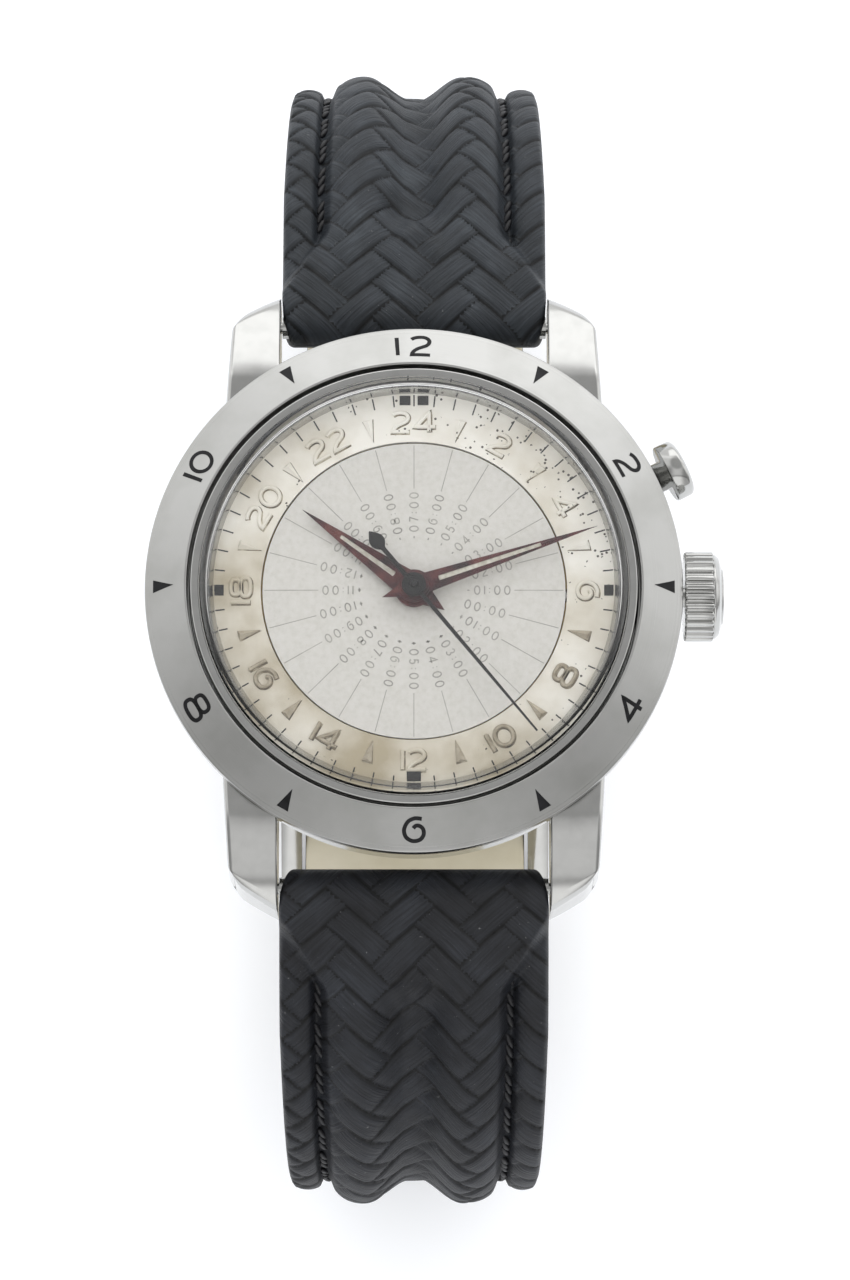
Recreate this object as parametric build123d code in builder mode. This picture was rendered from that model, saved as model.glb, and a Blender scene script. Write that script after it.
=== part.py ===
from math import acos, atan2, cos, degrees, pi, radians, sin
import os

from build123d import *

# World time watch on a closed two-piece strap, in millimetres.
# +Z is the dial's outward normal, +Y points to 12 o'clock and +X to 3 o'clock.
# The origin is the middle of the case back's outer face, on the axis of the hands.

os.makedirs("parts", exist_ok=True)

overrun = 1.0  # how far cuts run past what they cut
sliding_gap = 0.05  # radial room of pieces that turn or slide in each other
seat_gap = 0.1  # room between pieces that move past each other

# Strap widths, which the lugs follow
strap_lug_width = 18.0
strap_taper = 2.0

# Case: radii from the axis and heights above the case back
case_r = 17.2
case_foot_inset = 0.35
case_bottom = 1.2
case_foot_height = 0.4
case_side_height = 5.4
collar_inset = 2.25
collar_height = 2.2
collar_wall = 0.65
crystal_ledge = 0.3

# Case back
back_inset = 1.55
back_bevel = 3.3
back_spigot = 0.6
back_notches = 6
notch_width = 2.4
notch_depth = 0.9

# Lugs
lug_width = 3.65
lug_root = 4.9
lug_reach = 5.95
lug_drop = 0.15
lug_crest = 0.2
lug_foot = 0.9
lug_tip = 1.5
lug_corner = 1.0
lug_tip_corner = 0.6
lug_narrowing = 0.45
lug_bevel = 0.35
bar_setback = 3.65
bar_rise = 2.1
bar_pin_r = 0.4
bar_tube_r = 0.75
bar_pin_depth = 1.1

# Bezel
bezel_overhang = 0.8
bezel_gap = 0.2
bezel_side = 0.85
bezel_height = 2.1
bezel_lip = 0.15

# Crystal and tension ring
crystal_skirt = 0.45
crystal_stand = 0.5
crystal_edge = 0.4
crystal_dome = 1.6
dome_facets = 3
tension_foot = 0.3
tension_height = 1.5

# Dial
dial_thickness = 0.4
dial_ring_width = 3.8
disc_gap = 0.12
disc_thickness = 0.22
wedge_count = 12
wedge_inset = 0.8
wedge_length = 1.2
wedge_width = 0.62
wedge_height = 0.22

# Hands: angles are clockwise from 12 o'clock, and margins run to the dial's edge or its window
hand_floor = 0.35
hand_step = 0.5
second_step = 0.55
minute_angle = 71.1
minute_margin = 1.05
minute_tail = 2.2
minute_width = 1.45
hour_angle = 306.0
hour_margin = 1.0
hour_tail = 2.5
hour_width = 2.0
hand_thickness = 0.18
hand_slot = 0.26
minute_slot_span = (1.2, 9.2)
hour_slot_span = (1.15, 6.0)
second_angle = 140.5
second_margin = 1.15
second_width = 0.3
second_tip_width = 0.14
second_stem = 3.2
second_leaf = 1.45
second_leaf_width = 1.0
second_hub_r = 0.8
second_thickness = 0.14

# Arbors and pipes on the axis of the hands, each pipe running on the one inside it
seconds_arbor_r = 0.2
pipe_wall = 0.17

# Movement: the main plate above, the bridge below with a pocket for the going train
plate_recess = 1.2
plate_thickness = 1.0
plate_rim = 0.85
bridge_floor = 0.4
bridge_thickness = 0.9
bridge_inset = 1.0
pocket_gap = 0.3
pivot_r = 0.12
arbor_r = 0.22
pivot_depth = 0.4
wheel_thickness = 0.12
tooth_tip_share = 0.45  # of the module, beyond the pitch circle
tooth_root_share = 1.1

# Going train: pitch radii
train_gap = 0.08
centre_pitch_r = 3.2
centre_teeth = 48
third_pinion_r = 0.4
third_pinion_teeth = 6
third_pitch_r = 3.18
third_teeth = 45
third_angle = 190.0
fourth_pitch_r = 3.15
fourth_teeth = 60

# Motion work
motion_distance = 2.4
motion_floor = 0.15
motion_step = 0.25
relay_step = 0.2
minute_wheel_angle = 135.0
relay_angle = 225.0
cannon_teeth = 8
minute_wheel_teeth = 24
minute_pinion_teeth = 6
hour_teeth = 24
relay_teeth = 20
relay_pinion_teeth = 10
city_teeth = 20

# Winding stem
stem_rise = 0.8
stem_length = 7.6
stem_r = 0.7
stem_neck_r = 0.45
tube_wall = 0.4

# Crown
crown_stand = 0.15
crown_skirt = 1.95
crown_cap = 0.55
crown_r = 3.0
crown_flutes = 28
flute_depth = 0.22
crown_cap_r = 2.75
crown_boss_r = 1.9
crown_boss = 0.12
crown_edge = 0.3
crown_cavity = 1.15
gasket_wall = 1.0
gasket_width = 0.6

# Pusher
pusher_travel = 0.8
pusher_angle = 26.5
pusher_rise = 0.9
pusher_stand = 1.0
pusher_cap = 1.4
pusher_cap_r = 1.98
pusher_edge = 0.35
pusher_stem_r = 1.0
pusher_tube_wall = 0.3
pusher_tube_inset = 0.5
pusher_rest = 0.3

# Strap: the path is the plane between the flat leather's two faces
strap_slope = 10.0
strap_lead = 5.3
strap_bend_r = 16.0
lining_thickness = 0.9
strap_inner = 1.2
flange_height = 1.0
hump_height = 2.05
valley_height = 0.35
groove_height = 0.55
pad_height = 2.25
pad_full = 4.6
shoulder_end = 9.6
hump_full = 30.0
hump_end = 40.0
taper_end = 45.0
layer_gap = 0.15
buckle_y = -5.0
buckle_bar_r = 0.7
loop_wall = 0.83
loop_length = 3.0
step_r = 14.0
step_before_bar = 14.3
tail_wrap = 13.0
tip_length = 7.0
hole_r = 0.9
hole_spacing = 6.5
hole_count = 5
used_hole = 1
used_hole_length = 4.4
used_hole_offset = -2.05

# Shares of the strap's half width, and of its stretches, for the sections
valley_edge_share = 0.15
hump_edge_share = 0.68
pad_edge_share = 0.82
groove_share = 0.06
edge_share = 0.04
bend_shares = (0.16, 0.33, 0.5, 0.66, 0.83)
crown_facets = 3
shoulder_shares = (0.35, 0.7)
step_shares = (0.25, 0.5, 0.75)
tail_shares = (0.5,)
tip_shares = ((0, 1), (0.4, 0.9), (0.7, 0.7), (0.9, 0.45), (1, 0.2))
end_shares = (0.04, 0.2, 0.5, 1)
pad_start = 1.2
end_reach = 1.9
flat_crown = 0.04
pad_edge_drop = 0.6
strap_edge = 0.35

# Keepers and buckle
keeper_wall = 1.0
keeper_width = 4.6
keeper_corner = 1.1
fixed_keeper_y = 0.4
free_keeper_y = 8.6
frame_eye_wall = 0.6
frame_arm = 1.5
frame_bar_y = -8.4
frame_bar_depth = 2.0
frame_bar_height = 1.55
frame_corner = 0.5
tongue_seat = 1.1
tongue_width = 1.5
tongue_thickness = 0.8
tongue_ring_wall = 0.65
tongue_overhang = 0.3
tongue_elbow = 3.4
tongue_back_angle = 204.0  # where the tongue's upper and lower faces leave its ring
tongue_front_angle = 258.0

# Radii that follow
collar_r = case_r - collar_inset
collar_bore_r = collar_r - collar_wall
case_bore_r = collar_bore_r - crystal_ledge
case_foot_r = case_r - case_foot_inset
back_r = case_foot_r - back_inset
back_flat_r = back_r - back_bevel
bezel_r = case_r + bezel_overhang
bezel_inner_r = collar_r + bezel_gap
crystal_r = collar_bore_r - sliding_gap
tension_r = crystal_r - crystal_skirt
dial_r = case_bore_r - sliding_gap
dial_window_r = dial_r - dial_ring_width
wedge_inner_r = dial_window_r + wedge_inset
wedge_outer_r = wedge_inner_r + wedge_length
bridge_r = case_bore_r - bridge_inset
lug_reach_r = case_r + lug_reach
lug_inner = strap_lug_width / 2 + seat_gap

# Heights that follow, from the case back to the crystal
back_spigot_top = case_bottom + back_spigot
case_waist = case_bottom + case_foot_height
case_shoulder = case_waist + case_side_height
collar_top = case_shoulder + collar_height
crystal_seat = case_shoulder + crystal_ledge
crystal_shoulder = collar_top + crystal_stand
crystal_ceiling = crystal_shoulder - crystal_edge
dial_top = crystal_seat - seat_gap
dial_bottom = dial_top - dial_thickness
tension_top = dial_top + tension_height
disc_bottom = dial_bottom + seat_gap
hour_z = dial_top + hand_floor
minute_z = hour_z + hand_step
second_z = minute_z + second_step
bezel_bottom = case_shoulder + bezel_gap
bezel_edge_top = bezel_bottom + bezel_side
bezel_top = bezel_bottom + bezel_height
lug_top = case_shoulder - lug_drop
lug_tip_top = lug_foot + lug_tip
bar_y = lug_reach_r - bar_setback
bar_z = lug_foot + bar_rise

# Movement sizes that follow
plate_top = dial_bottom - plate_recess
plate_bottom = plate_top - plate_thickness
bridge_bottom = back_spigot_top + bridge_floor
bridge_top = bridge_bottom + bridge_thickness
fourth_pinion_r = third_pitch_r * third_pinion_teeth / third_teeth
centre_z = plate_bottom - wheel_thickness - train_gap
fourth_z = bridge_top + seat_gap
third_z = fourth_z + wheel_thickness + seat_gap
minute_wheel_z = plate_top + motion_floor
hour_wheel_z = minute_wheel_z + motion_step
hour_gear_z = hour_wheel_z + relay_step
city_wheel_z = hour_gear_z + motion_step
crown_axis_z = plate_bottom + stem_rise
pusher_z = plate_bottom + pusher_rise

# Sizes of the crown, the pusher, the strap and the buckle that follow
stem_end = case_bore_r - stem_length
tube_r = stem_r + sliding_gap + tube_wall
crown_start = bezel_r + crown_stand
crown_skirt_end = crown_start + crown_skirt
crown_end = crown_skirt_end + crown_cap
crown_cavity_end = crown_start + crown_cavity
crown_cavity_r = stem_r + sliding_gap + gasket_wall
pusher_tube_r = pusher_stem_r + sliding_gap + pusher_tube_wall
pusher_cap_start = bezel_r + pusher_stand
pusher_cap_end = pusher_cap_start + pusher_cap
pusher_tube_start = case_bore_r + pusher_tube_inset
pusher_tube_end = pusher_cap_start - pusher_travel - 2 * seat_gap
pusher_start = pusher_tube_start - pusher_rest
strap_width = strap_lug_width - strap_taper
strap_bend_angle = 180 - strap_slope
strap_bore_r = bar_tube_r + 2 * seat_gap
loop_r = buckle_bar_r + seat_gap + loop_wall
buckle_bar_rise = loop_r - flange_height
used_hole_r = tongue_width / 2 + 2 * seat_gap
frame_eye_r = buckle_bar_r + frame_eye_wall
tongue_ring_r = buckle_bar_r + tongue_ring_wall


def place(distance, angle, origin=(0, 0)):
    """The point at a distance and an angle from another point."""
    return (origin[0] + distance * cos(radians(angle)), origin[1] + distance * sin(radians(angle)))


def aim(start, end):
    """The direction from one point to another, in degrees."""
    return degrees(atan2(end[1] - start[1], end[0] - start[0]))


def finish(part, name):
    part.label = name
    export_step(part, f"parts/{name}.step")


def turn(*points, mode=Mode.ADD):
    """Revolve an outline of (radius, height) points about the axis of the hands."""
    with BuildSketch(Plane.XZ) as outline:
        with BuildLine():
            Polyline(*points, close=True)
        make_face()
    revolve(outline.sketch, axis=Axis.Z, mode=mode)


def dome(apex, radius, rise):
    """Points down a spherical cap, from its top on the axis to its rim."""
    cap_r = (radius ** 2 + rise ** 2) / (2 * rise)
    reach = acos(1 - rise / cap_r)
    angles = [reach * i / dome_facets for i in range(dome_facets + 1)]
    return [(cap_r * sin(angle), apex - cap_r * (1 - cos(angle))) for angle in angles]


def post(at, low, high, radius, mode=Mode.ADD):
    """A round post between two heights."""
    with BuildSketch(Plane((*at, low))) as outline:
        Circle(radius)
    extrude(outline.sketch, amount=high - low, mode=mode)


def toothed_outline(teeth, pitch_r, phase):
    """A closed zigzag with one tooth pointing along the phase angle."""
    module = 2 * pitch_r / teeth
    radii = (pitch_r + tooth_tip_share * module, pitch_r - tooth_root_share * module)
    half_pitch = 180 / teeth
    Polyline(*[place(radii[i % 2], phase + i * half_pitch) for i in range(2 * teeth)], close=True)


def gear(at, low, high, teeth, pitch_r, phase):
    """A solid toothed wheel or pinion between two heights."""
    with BuildSketch(Plane((*at, low))) as outline:
        with BuildLine():
            toothed_outline(teeth, pitch_r, phase)
        make_face()
    extrude(outline.sketch, amount=high - low)


def axis_plane(angle, height):
    """A plane on the dial's axis whose x runs outwards at an angle and whose y runs up."""
    outwards = (*place(1, angle), 0)
    return Plane((0, 0, height), x_dir=outwards, z_dir=(outwards[1], -outwards[0], 0))


def cross_plane(angle, height, distance):
    """A plane square to a radius, at a distance from the dial's axis."""
    outwards = (*place(1, angle), 0)
    return Plane((*place(distance, angle), height), x_dir=(0, 0, 1), z_dir=outwards)


def rod(angle, height, start, end, radius, mode=Mode.ADD):
    """A round rod along a radius of the dial."""
    with BuildSketch(cross_plane(angle, height, start)) as outline:
        Circle(radius)
    extrude(outline.sketch, amount=end - start, mode=mode)


# Case middle with its four lugs

with BuildPart() as lug:
    with BuildSketch(Plane.YZ.offset(lug_inner)):
        with BuildLine():
            lug_root_y = case_r - lug_root
            crest = (case_r - lug_crest, lug_top)
            tip = (lug_reach_r, lug_tip_top)
            Line((lug_root_y, lug_foot + lug_corner), (lug_root_y, lug_top))
            Line((lug_root_y, lug_top), crest)
            ThreePointArc(crest, (bar_y + lug_corner, (2 * lug_top + lug_tip_top) / 3 - lug_corner / 4), tip)
            Line(tip, (lug_reach_r, lug_foot))
            Line((lug_reach_r, lug_foot), (case_r, lug_foot))
            Line((case_r, lug_foot), (lug_root_y, lug_foot + lug_corner))
        make_face()
    extrude(amount=lug_width)
    with BuildSketch(Plane.XY):
        with BuildLine():
            lug_outer = lug_inner + lug_width
            Polyline(
                (lug_inner, lug_root_y),
                (lug_outer, lug_root_y),
                (lug_outer - lug_narrowing, bar_y),
                (lug_outer - lug_narrowing - lug_tip_corner, bar_y + lug_tip_corner),
                (lug_inner, lug_reach_r),
                close=True,
            )
        make_face()
        Circle(lug_reach_r, mode=Mode.INTERSECT)
    extrude(amount=case_shoulder + overrun, mode=Mode.INTERSECT)
    outer_edge = lug.edges().filter_by(GeomType.LINE, reverse=True).sort_by(Axis.X)[-1]
    chamfer(outer_edge, lug_bevel)

with BuildPart() as case_middle:
    turn(
        (case_bore_r, case_bottom),
        (case_foot_r, case_bottom),
        (case_r, case_waist),
        (case_r, case_shoulder),
        (collar_r, case_shoulder),
        (collar_r, collar_top),
        (collar_bore_r, collar_top),
        (collar_bore_r, crystal_seat),
        (case_bore_r, crystal_seat),
    )
    add(lug.part)
    add(mirror(lug.part, about=Plane.YZ, mode=Mode.PRIVATE))
    add(mirror(lug.part, about=Plane.XZ, mode=Mode.PRIVATE))
    add(lug.part.rotate(Axis.Z, 180))
    rod(0, crown_axis_z, case_bore_r - overrun, case_r + overrun, tube_r, mode=Mode.SUBTRACT)
    rod(pusher_angle, pusher_z, case_bore_r - overrun, case_r + overrun, pusher_tube_r, mode=Mode.SUBTRACT)
    for side in (1, -1):
        with BuildSketch(Plane.YZ.offset(-lug_inner - bar_pin_depth)):
            with Locations((side * bar_y, bar_z)):
                Circle(bar_pin_r + sliding_gap)
        extrude(amount=2 * (lug_inner + bar_pin_depth), mode=Mode.SUBTRACT)
finish(case_middle.part, "case_middle")

# Case back with key notches, threaded into the case

with BuildPart() as case_back:
    turn(
        (0, 0),
        (back_flat_r, 0),
        (back_r, case_bottom - seat_gap),
        (case_bore_r - sliding_gap, case_bottom - seat_gap),
        (case_bore_r - sliding_gap, back_spigot_top),
        (0, back_spigot_top),
    )
    with BuildSketch(Plane.XY):
        with PolarLocations(back_r, back_notches):
            Rectangle(back_r - back_flat_r, notch_width)
    extrude(amount=notch_depth, mode=Mode.SUBTRACT)
finish(case_back.part, "case_back")

# Bezel: a cone with a low side wall

with BuildPart() as bezel:
    turn(
        (bezel_inner_r, bezel_bottom),
        (bezel_r, bezel_bottom),
        (bezel_r, bezel_edge_top),
        (bezel_inner_r + bezel_lip, bezel_top),
        (bezel_inner_r, bezel_top),
    )
finish(bezel.part, "bezel")

# Crystal: a domed acrylic cap, pressed out against the collar by the tension ring

with BuildPart() as crystal:
    apex = crystal_shoulder + crystal_dome
    outside = dome(apex, crystal_r, crystal_dome)
    turn(*outside, (crystal_r, crystal_seat), (tension_r, crystal_seat), (tension_r, crystal_ceiling),
         (0, crystal_ceiling))
finish(crystal.part, "crystal")

with BuildPart() as tension_ring:
    turn((tension_r, dial_top), (tension_r, tension_top), (tension_r - tension_foot, dial_top))
finish(tension_ring.part, "tension_ring")

# Dial ring with its applied wedges at the odd hours, their points towards the middle

with BuildPart() as dial_ring:
    turn(
        (dial_window_r, dial_bottom),
        (dial_r, dial_bottom),
        (dial_r, dial_top),
        (dial_window_r, dial_top),
    )
finish(dial_ring.part, "dial_ring")

with BuildPart() as dial_wedges:
    with BuildSketch(Plane.XY.offset(dial_top)):
        with PolarLocations(0, wedge_count, start_angle=180 / wedge_count):
            Polygon(
                (wedge_inner_r, 0),
                (wedge_outer_r, -wedge_width / 2),
                (wedge_outer_r, wedge_width / 2),
                align=None,
            )
    extrude(amount=wedge_height)
finish(dial_wedges.part, "dial_wedges")

# Pipes that run on each other about the axis of the hands

seconds_pipe_r = seconds_arbor_r + sliding_gap
centre_arbor_r = seconds_pipe_r + pipe_wall
cannon_pipe_r = centre_arbor_r + pipe_wall
hour_bore_r = cannon_pipe_r + sliding_gap
hour_pipe_r = hour_bore_r + pipe_wall
disc_bore_r = hour_pipe_r + sliding_gap
disc_pipe_r = disc_bore_r + pipe_wall
axis = (0, 0)

third_at = place(centre_pitch_r + third_pinion_r, third_angle)
minute_wheel_at = place(motion_distance, minute_wheel_angle)
relay_at = place(motion_distance, relay_angle)

cannon_pitch_r = motion_distance * cannon_teeth / (cannon_teeth + minute_wheel_teeth)
minute_pinion_pitch_r = motion_distance * minute_pinion_teeth / (minute_pinion_teeth + hour_teeth)
relay_pitch_r = motion_distance / 2
relay_pinion_pitch_r = motion_distance * relay_pinion_teeth / (relay_pinion_teeth + city_teeth)

# World disc and the wheel under it, on one pipe

with BuildPart() as city_disc:
    disc_r = dial_window_r - disc_gap
    post(axis, disc_bottom, disc_bottom + disc_thickness, disc_r)
    post(axis, disc_bottom, disc_bottom + disc_thickness, disc_pipe_r, mode=Mode.SUBTRACT)
finish(city_disc.part, "city_disc")

with BuildPart() as city_wheel:
    post(axis, city_wheel_z, disc_bottom + disc_thickness, disc_pipe_r)
    gear(axis, city_wheel_z, city_wheel_z + wheel_thickness, city_teeth,
         motion_distance - relay_pinion_pitch_r, relay_angle)
    post(axis, 0, case_shoulder + overrun, disc_bore_r, mode=Mode.SUBTRACT)
finish(city_wheel.part, "city_wheel")

# Hands, each drawn along +Y and turned to its angle


def hand_plane(angle, height):
    return Plane.XY.offset(height).rotated((0, 0, -angle))


def dauphine(angle, height, length, tail, width, slot_span, bore_r):
    """A pointed hand with a narrow open slot and a bore."""
    with BuildSketch(hand_plane(angle, height)) as outline:
        with BuildLine():
            Polyline((0, length), (width / 2, 0), (0, -tail), (-width / 2, 0), close=True)
        make_face()
        Circle(bore_r + 2 * pipe_wall)
        Circle(bore_r, mode=Mode.SUBTRACT)
        with BuildLine():
            Polyline(
                (-hand_slot / 2, slot_span[0]),
                (hand_slot / 2, slot_span[0]),
                (hand_slot / 4, slot_span[1]),
                (-hand_slot / 4, slot_span[1]),
                close=True,
            )
        make_face(mode=Mode.SUBTRACT)
    extrude(outline.sketch, amount=hand_thickness)


with BuildPart() as minute_hand:
    minute_reach = dial_r - minute_margin
    dauphine(minute_angle, minute_z, minute_reach, minute_tail, minute_width, minute_slot_span, cannon_pipe_r)
finish(minute_hand.part, "minute_hand")

with BuildPart() as hour_hand:
    hour_reach = dial_window_r - hour_margin
    dauphine(hour_angle, hour_z, hour_reach, hour_tail, hour_width, hour_slot_span, hour_pipe_r)
finish(hour_hand.part, "hour_hand")

with BuildPart() as seconds_hand:
    second_length = dial_r - second_margin
    with BuildSketch(hand_plane(second_angle, second_z)):
        with BuildLine():
            Polyline(
                (-second_width / 2, 0),
                (-second_tip_width / 2, second_length),
                (second_tip_width / 2, second_length),
                (second_width / 2, 0),
                (second_width / 2, -second_stem),
                (second_leaf_width / 2, -second_stem - second_leaf / 3),
                (0, -second_stem - second_leaf),
                (-second_leaf_width / 2, -second_stem - second_leaf / 3),
                (-second_width / 2, -second_stem),
                close=True,
            )
        make_face()
        Circle(second_hub_r)
    extrude(amount=second_thickness)
    post(axis, second_z, second_z + 3 * second_thickness, second_hub_r / 2)
    post(axis, second_z, second_z + 2 * second_thickness, seconds_arbor_r, mode=Mode.SUBTRACT)
finish(seconds_hand.part, "seconds_hand")

# Motion work

with BuildPart() as cannon_pinion:
    gear(axis, minute_wheel_z, minute_wheel_z + 2 * wheel_thickness - sliding_gap, cannon_teeth,
         cannon_pitch_r, minute_wheel_angle)
    post(axis, minute_wheel_z, minute_z + hand_thickness, cannon_pipe_r)
    post(axis, 0, minute_z + overrun, centre_arbor_r, mode=Mode.SUBTRACT)
finish(cannon_pinion.part, "cannon_pinion")

with BuildPart() as hour_wheel:
    post(axis, hour_wheel_z, hour_z + hand_thickness, hour_pipe_r)
    gear(axis, hour_wheel_z, hour_wheel_z + wheel_thickness, hour_teeth,
         motion_distance - minute_pinion_pitch_r, minute_wheel_angle)
    gear(axis, hour_wheel_z, hour_gear_z + wheel_thickness, relay_teeth, relay_pitch_r, relay_angle)
    post(axis, 0, hour_z + overrun, hour_bore_r, mode=Mode.SUBTRACT)
finish(hour_wheel.part, "hour_wheel")

with BuildPart() as minute_wheel:
    facing = aim(minute_wheel_at, axis)
    gear(minute_wheel_at, minute_wheel_z, minute_wheel_z + wheel_thickness, minute_wheel_teeth,
         motion_distance - cannon_pitch_r, facing + 180 / minute_wheel_teeth)
    gear(minute_wheel_at, minute_wheel_z, hour_wheel_z + wheel_thickness, minute_pinion_teeth,
         minute_pinion_pitch_r, facing + 180 / minute_pinion_teeth)
    post(minute_wheel_at, 0, case_shoulder, pivot_r + sliding_gap, mode=Mode.SUBTRACT)
finish(minute_wheel.part, "minute_wheel")

with BuildPart() as relay_wheel:
    facing = aim(relay_at, axis)
    gear(relay_at, hour_gear_z, hour_gear_z + wheel_thickness, relay_teeth, relay_pitch_r,
         facing + 180 / relay_teeth)
    gear(relay_at, hour_gear_z, city_wheel_z + wheel_thickness, relay_pinion_teeth,
         relay_pinion_pitch_r, facing + 180 / relay_pinion_teeth)
    post(relay_at, 0, case_shoulder, pivot_r + sliding_gap, mode=Mode.SUBTRACT)
finish(relay_wheel.part, "relay_wheel")

# Going train: the centre wheel carries the minute hand, the fourth wheel the seconds hand through its bore

with BuildPart() as centre_wheel:
    post(axis, centre_z, minute_z + hand_thickness, centre_arbor_r)
    gear(axis, centre_z, centre_z + wheel_thickness, centre_teeth, centre_pitch_r, third_angle)
    post(axis, 0, minute_z + overrun, seconds_pipe_r, mode=Mode.SUBTRACT)
finish(centre_wheel.part, "centre_wheel")

with BuildPart() as third_wheel:
    facing = aim(third_at, axis)
    post(third_at, bridge_top - pivot_depth, plate_bottom + pivot_depth, arbor_r)
    gear(third_at, third_z, third_z + wheel_thickness, third_teeth, third_pitch_r, facing)
    gear(third_at, centre_z - wheel_thickness, plate_bottom - sliding_gap, third_pinion_teeth,
         third_pinion_r, facing + 180 / third_pinion_teeth)
finish(third_wheel.part, "third_wheel")

with BuildPart() as fourth_wheel:
    post(axis, bridge_top - pivot_depth, second_z + second_thickness, seconds_arbor_r)
    gear(axis, fourth_z, fourth_z + wheel_thickness, fourth_teeth, fourth_pitch_r, 0)
    gear(axis, fourth_z, third_z + wheel_thickness + seat_gap, third_pinion_teeth, fourth_pinion_r,
         third_angle + 180 / third_pinion_teeth)
finish(fourth_wheel.part, "fourth_wheel")

# Main plate, whose rim carries the dial, and the bridge with the pocket that the train runs in

with BuildPart() as main_plate:
    post(axis, plate_bottom, dial_bottom, dial_r)
    post(axis, plate_top, dial_bottom, dial_r - plate_rim, mode=Mode.SUBTRACT)
    post(axis, plate_bottom, plate_top, centre_arbor_r + sliding_gap, mode=Mode.SUBTRACT)
    third_pivot_top = plate_bottom + pivot_depth + seat_gap
    post(third_at, plate_bottom, third_pivot_top, arbor_r + sliding_gap, mode=Mode.SUBTRACT)
    post(minute_wheel_at, plate_top, hour_wheel_z + wheel_thickness, pivot_r)
    post(relay_at, plate_top, city_wheel_z + wheel_thickness, pivot_r)
    rod(0, crown_axis_z, stem_end, dial_r + overrun, stem_neck_r + sliding_gap, mode=Mode.SUBTRACT)
    rod(pusher_angle, pusher_z, pusher_start - pusher_travel, dial_r + overrun,
        pusher_stem_r + sliding_gap, mode=Mode.SUBTRACT)
finish(main_plate.part, "main_plate")

with BuildPart() as train_bridge:
    post(axis, bridge_bottom, plate_bottom, bridge_r)
    for at in (axis, third_at):
        post(at, bridge_top, plate_bottom, centre_pitch_r + pocket_gap, mode=Mode.SUBTRACT)
    post(axis, bridge_top - pivot_depth - seat_gap, bridge_top, seconds_pipe_r, mode=Mode.SUBTRACT)
    post(third_at, bridge_top - pivot_depth - seat_gap, bridge_top, arbor_r + sliding_gap, mode=Mode.SUBTRACT)
finish(train_bridge.part, "train_bridge")

# Crown, stem and gasket, all on the crown's axis

with BuildPart() as crown:
    with BuildSketch(cross_plane(0, crown_axis_z, crown_start)):
        with BuildLine():
            flute_radii = (crown_r, crown_r - flute_depth)
            Polyline(
                *[place(flute_radii[i % 2], i * 180 / crown_flutes) for i in range(2 * crown_flutes)],
                close=True,
            )
        make_face()
    extrude(amount=crown_skirt_end - crown_start)
    with BuildSketch(axis_plane(0, crown_axis_z)):
        with BuildLine():
            Polyline(
                (crown_end, 0),
                (crown_end, crown_cap_r - crown_edge),
                (crown_end - crown_edge, crown_cap_r),
                (crown_cavity_end, crown_cap_r),
                (crown_cavity_end, 0),
                close=True,
            )
        make_face()
    revolve(axis=Axis((0, 0, crown_axis_z), (1, 0, 0)))
    rod(0, crown_axis_z, crown_end, crown_end + crown_boss, crown_boss_r)
    rod(0, crown_axis_z, crown_start, crown_cavity_end, crown_cavity_r, mode=Mode.SUBTRACT)
finish(crown.part, "crown")

with BuildPart() as winding_stem:
    rod(0, crown_axis_z, case_bore_r + seat_gap, crown_cavity_end, stem_r)
    rod(0, crown_axis_z, stem_end + seat_gap, case_bore_r + seat_gap, stem_neck_r)
finish(winding_stem.part, "winding_stem")

with BuildPart() as crown_tube:
    rod(0, crown_axis_z, case_bore_r + seat_gap, crown_start - seat_gap, tube_r)
    rod(0, crown_axis_z, case_bore_r, crown_start, stem_r + sliding_gap, mode=Mode.SUBTRACT)
finish(crown_tube.part, "crown_tube")

with BuildPart() as crown_gasket:
    rod(0, crown_axis_z, crown_start + seat_gap, crown_start + seat_gap + gasket_width,
        crown_cavity_r - sliding_gap)
    rod(0, crown_axis_z, crown_start, crown_end, stem_r + sliding_gap, mode=Mode.SUBTRACT)
finish(crown_gasket.part, "crown_gasket")

# Pusher: cap and stem in one, sliding in its tube on a spring

with BuildPart() as pusher:
    with BuildSketch(axis_plane(pusher_angle, pusher_z)):
        with BuildLine():
            Polyline(
                (pusher_cap_end, 0),
                (pusher_cap_end, pusher_cap_r - pusher_edge),
                (pusher_cap_end - pusher_edge, pusher_cap_r),
                (pusher_cap_start, pusher_cap_r),
                (pusher_cap_start, pusher_stem_r),
                (pusher_start, pusher_stem_r),
                (pusher_start, 0),
                close=True,
            )
        make_face()
    revolve(axis=Axis((0, 0, pusher_z), (*place(1, pusher_angle), 0)))
finish(pusher.part, "pusher")

with BuildPart() as pusher_tube:
    rod(pusher_angle, pusher_z, pusher_tube_start, pusher_tube_end, pusher_tube_r)
    tube_bore_r = pusher_stem_r + sliding_gap
    rod(pusher_angle, pusher_z, case_bore_r, pusher_cap_start, tube_bore_r, mode=Mode.SUBTRACT)
finish(pusher_tube.part, "pusher_tube")

# Spring bars: a tube between the lugs with a pin at each end

bar_ends = (-lug_inner - bar_pin_depth, lug_inner + bar_pin_depth)
with BuildPart() as spring_bars:
    for side in (1, -1):
        with BuildSketch(Plane.YZ.offset(-lug_inner + seat_gap)):
            with Locations((side * bar_y, bar_z)):
                Circle(bar_tube_r)
        extrude(amount=2 * lug_inner - 2 * seat_gap)
        with BuildSketch(Plane.YZ.offset(bar_ends[0])):
            with Locations((side * bar_y, bar_z)):
                Circle(bar_pin_r)
        extrude(amount=bar_ends[1] - bar_ends[0])
finish(spring_bars.part, "spring_bars")

# Strap paths, drawn as (y, z) points. The short half ends on the buckle's bar. The long half steps out over
# that end, runs outside the short half and follows its bend with the tail.

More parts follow.
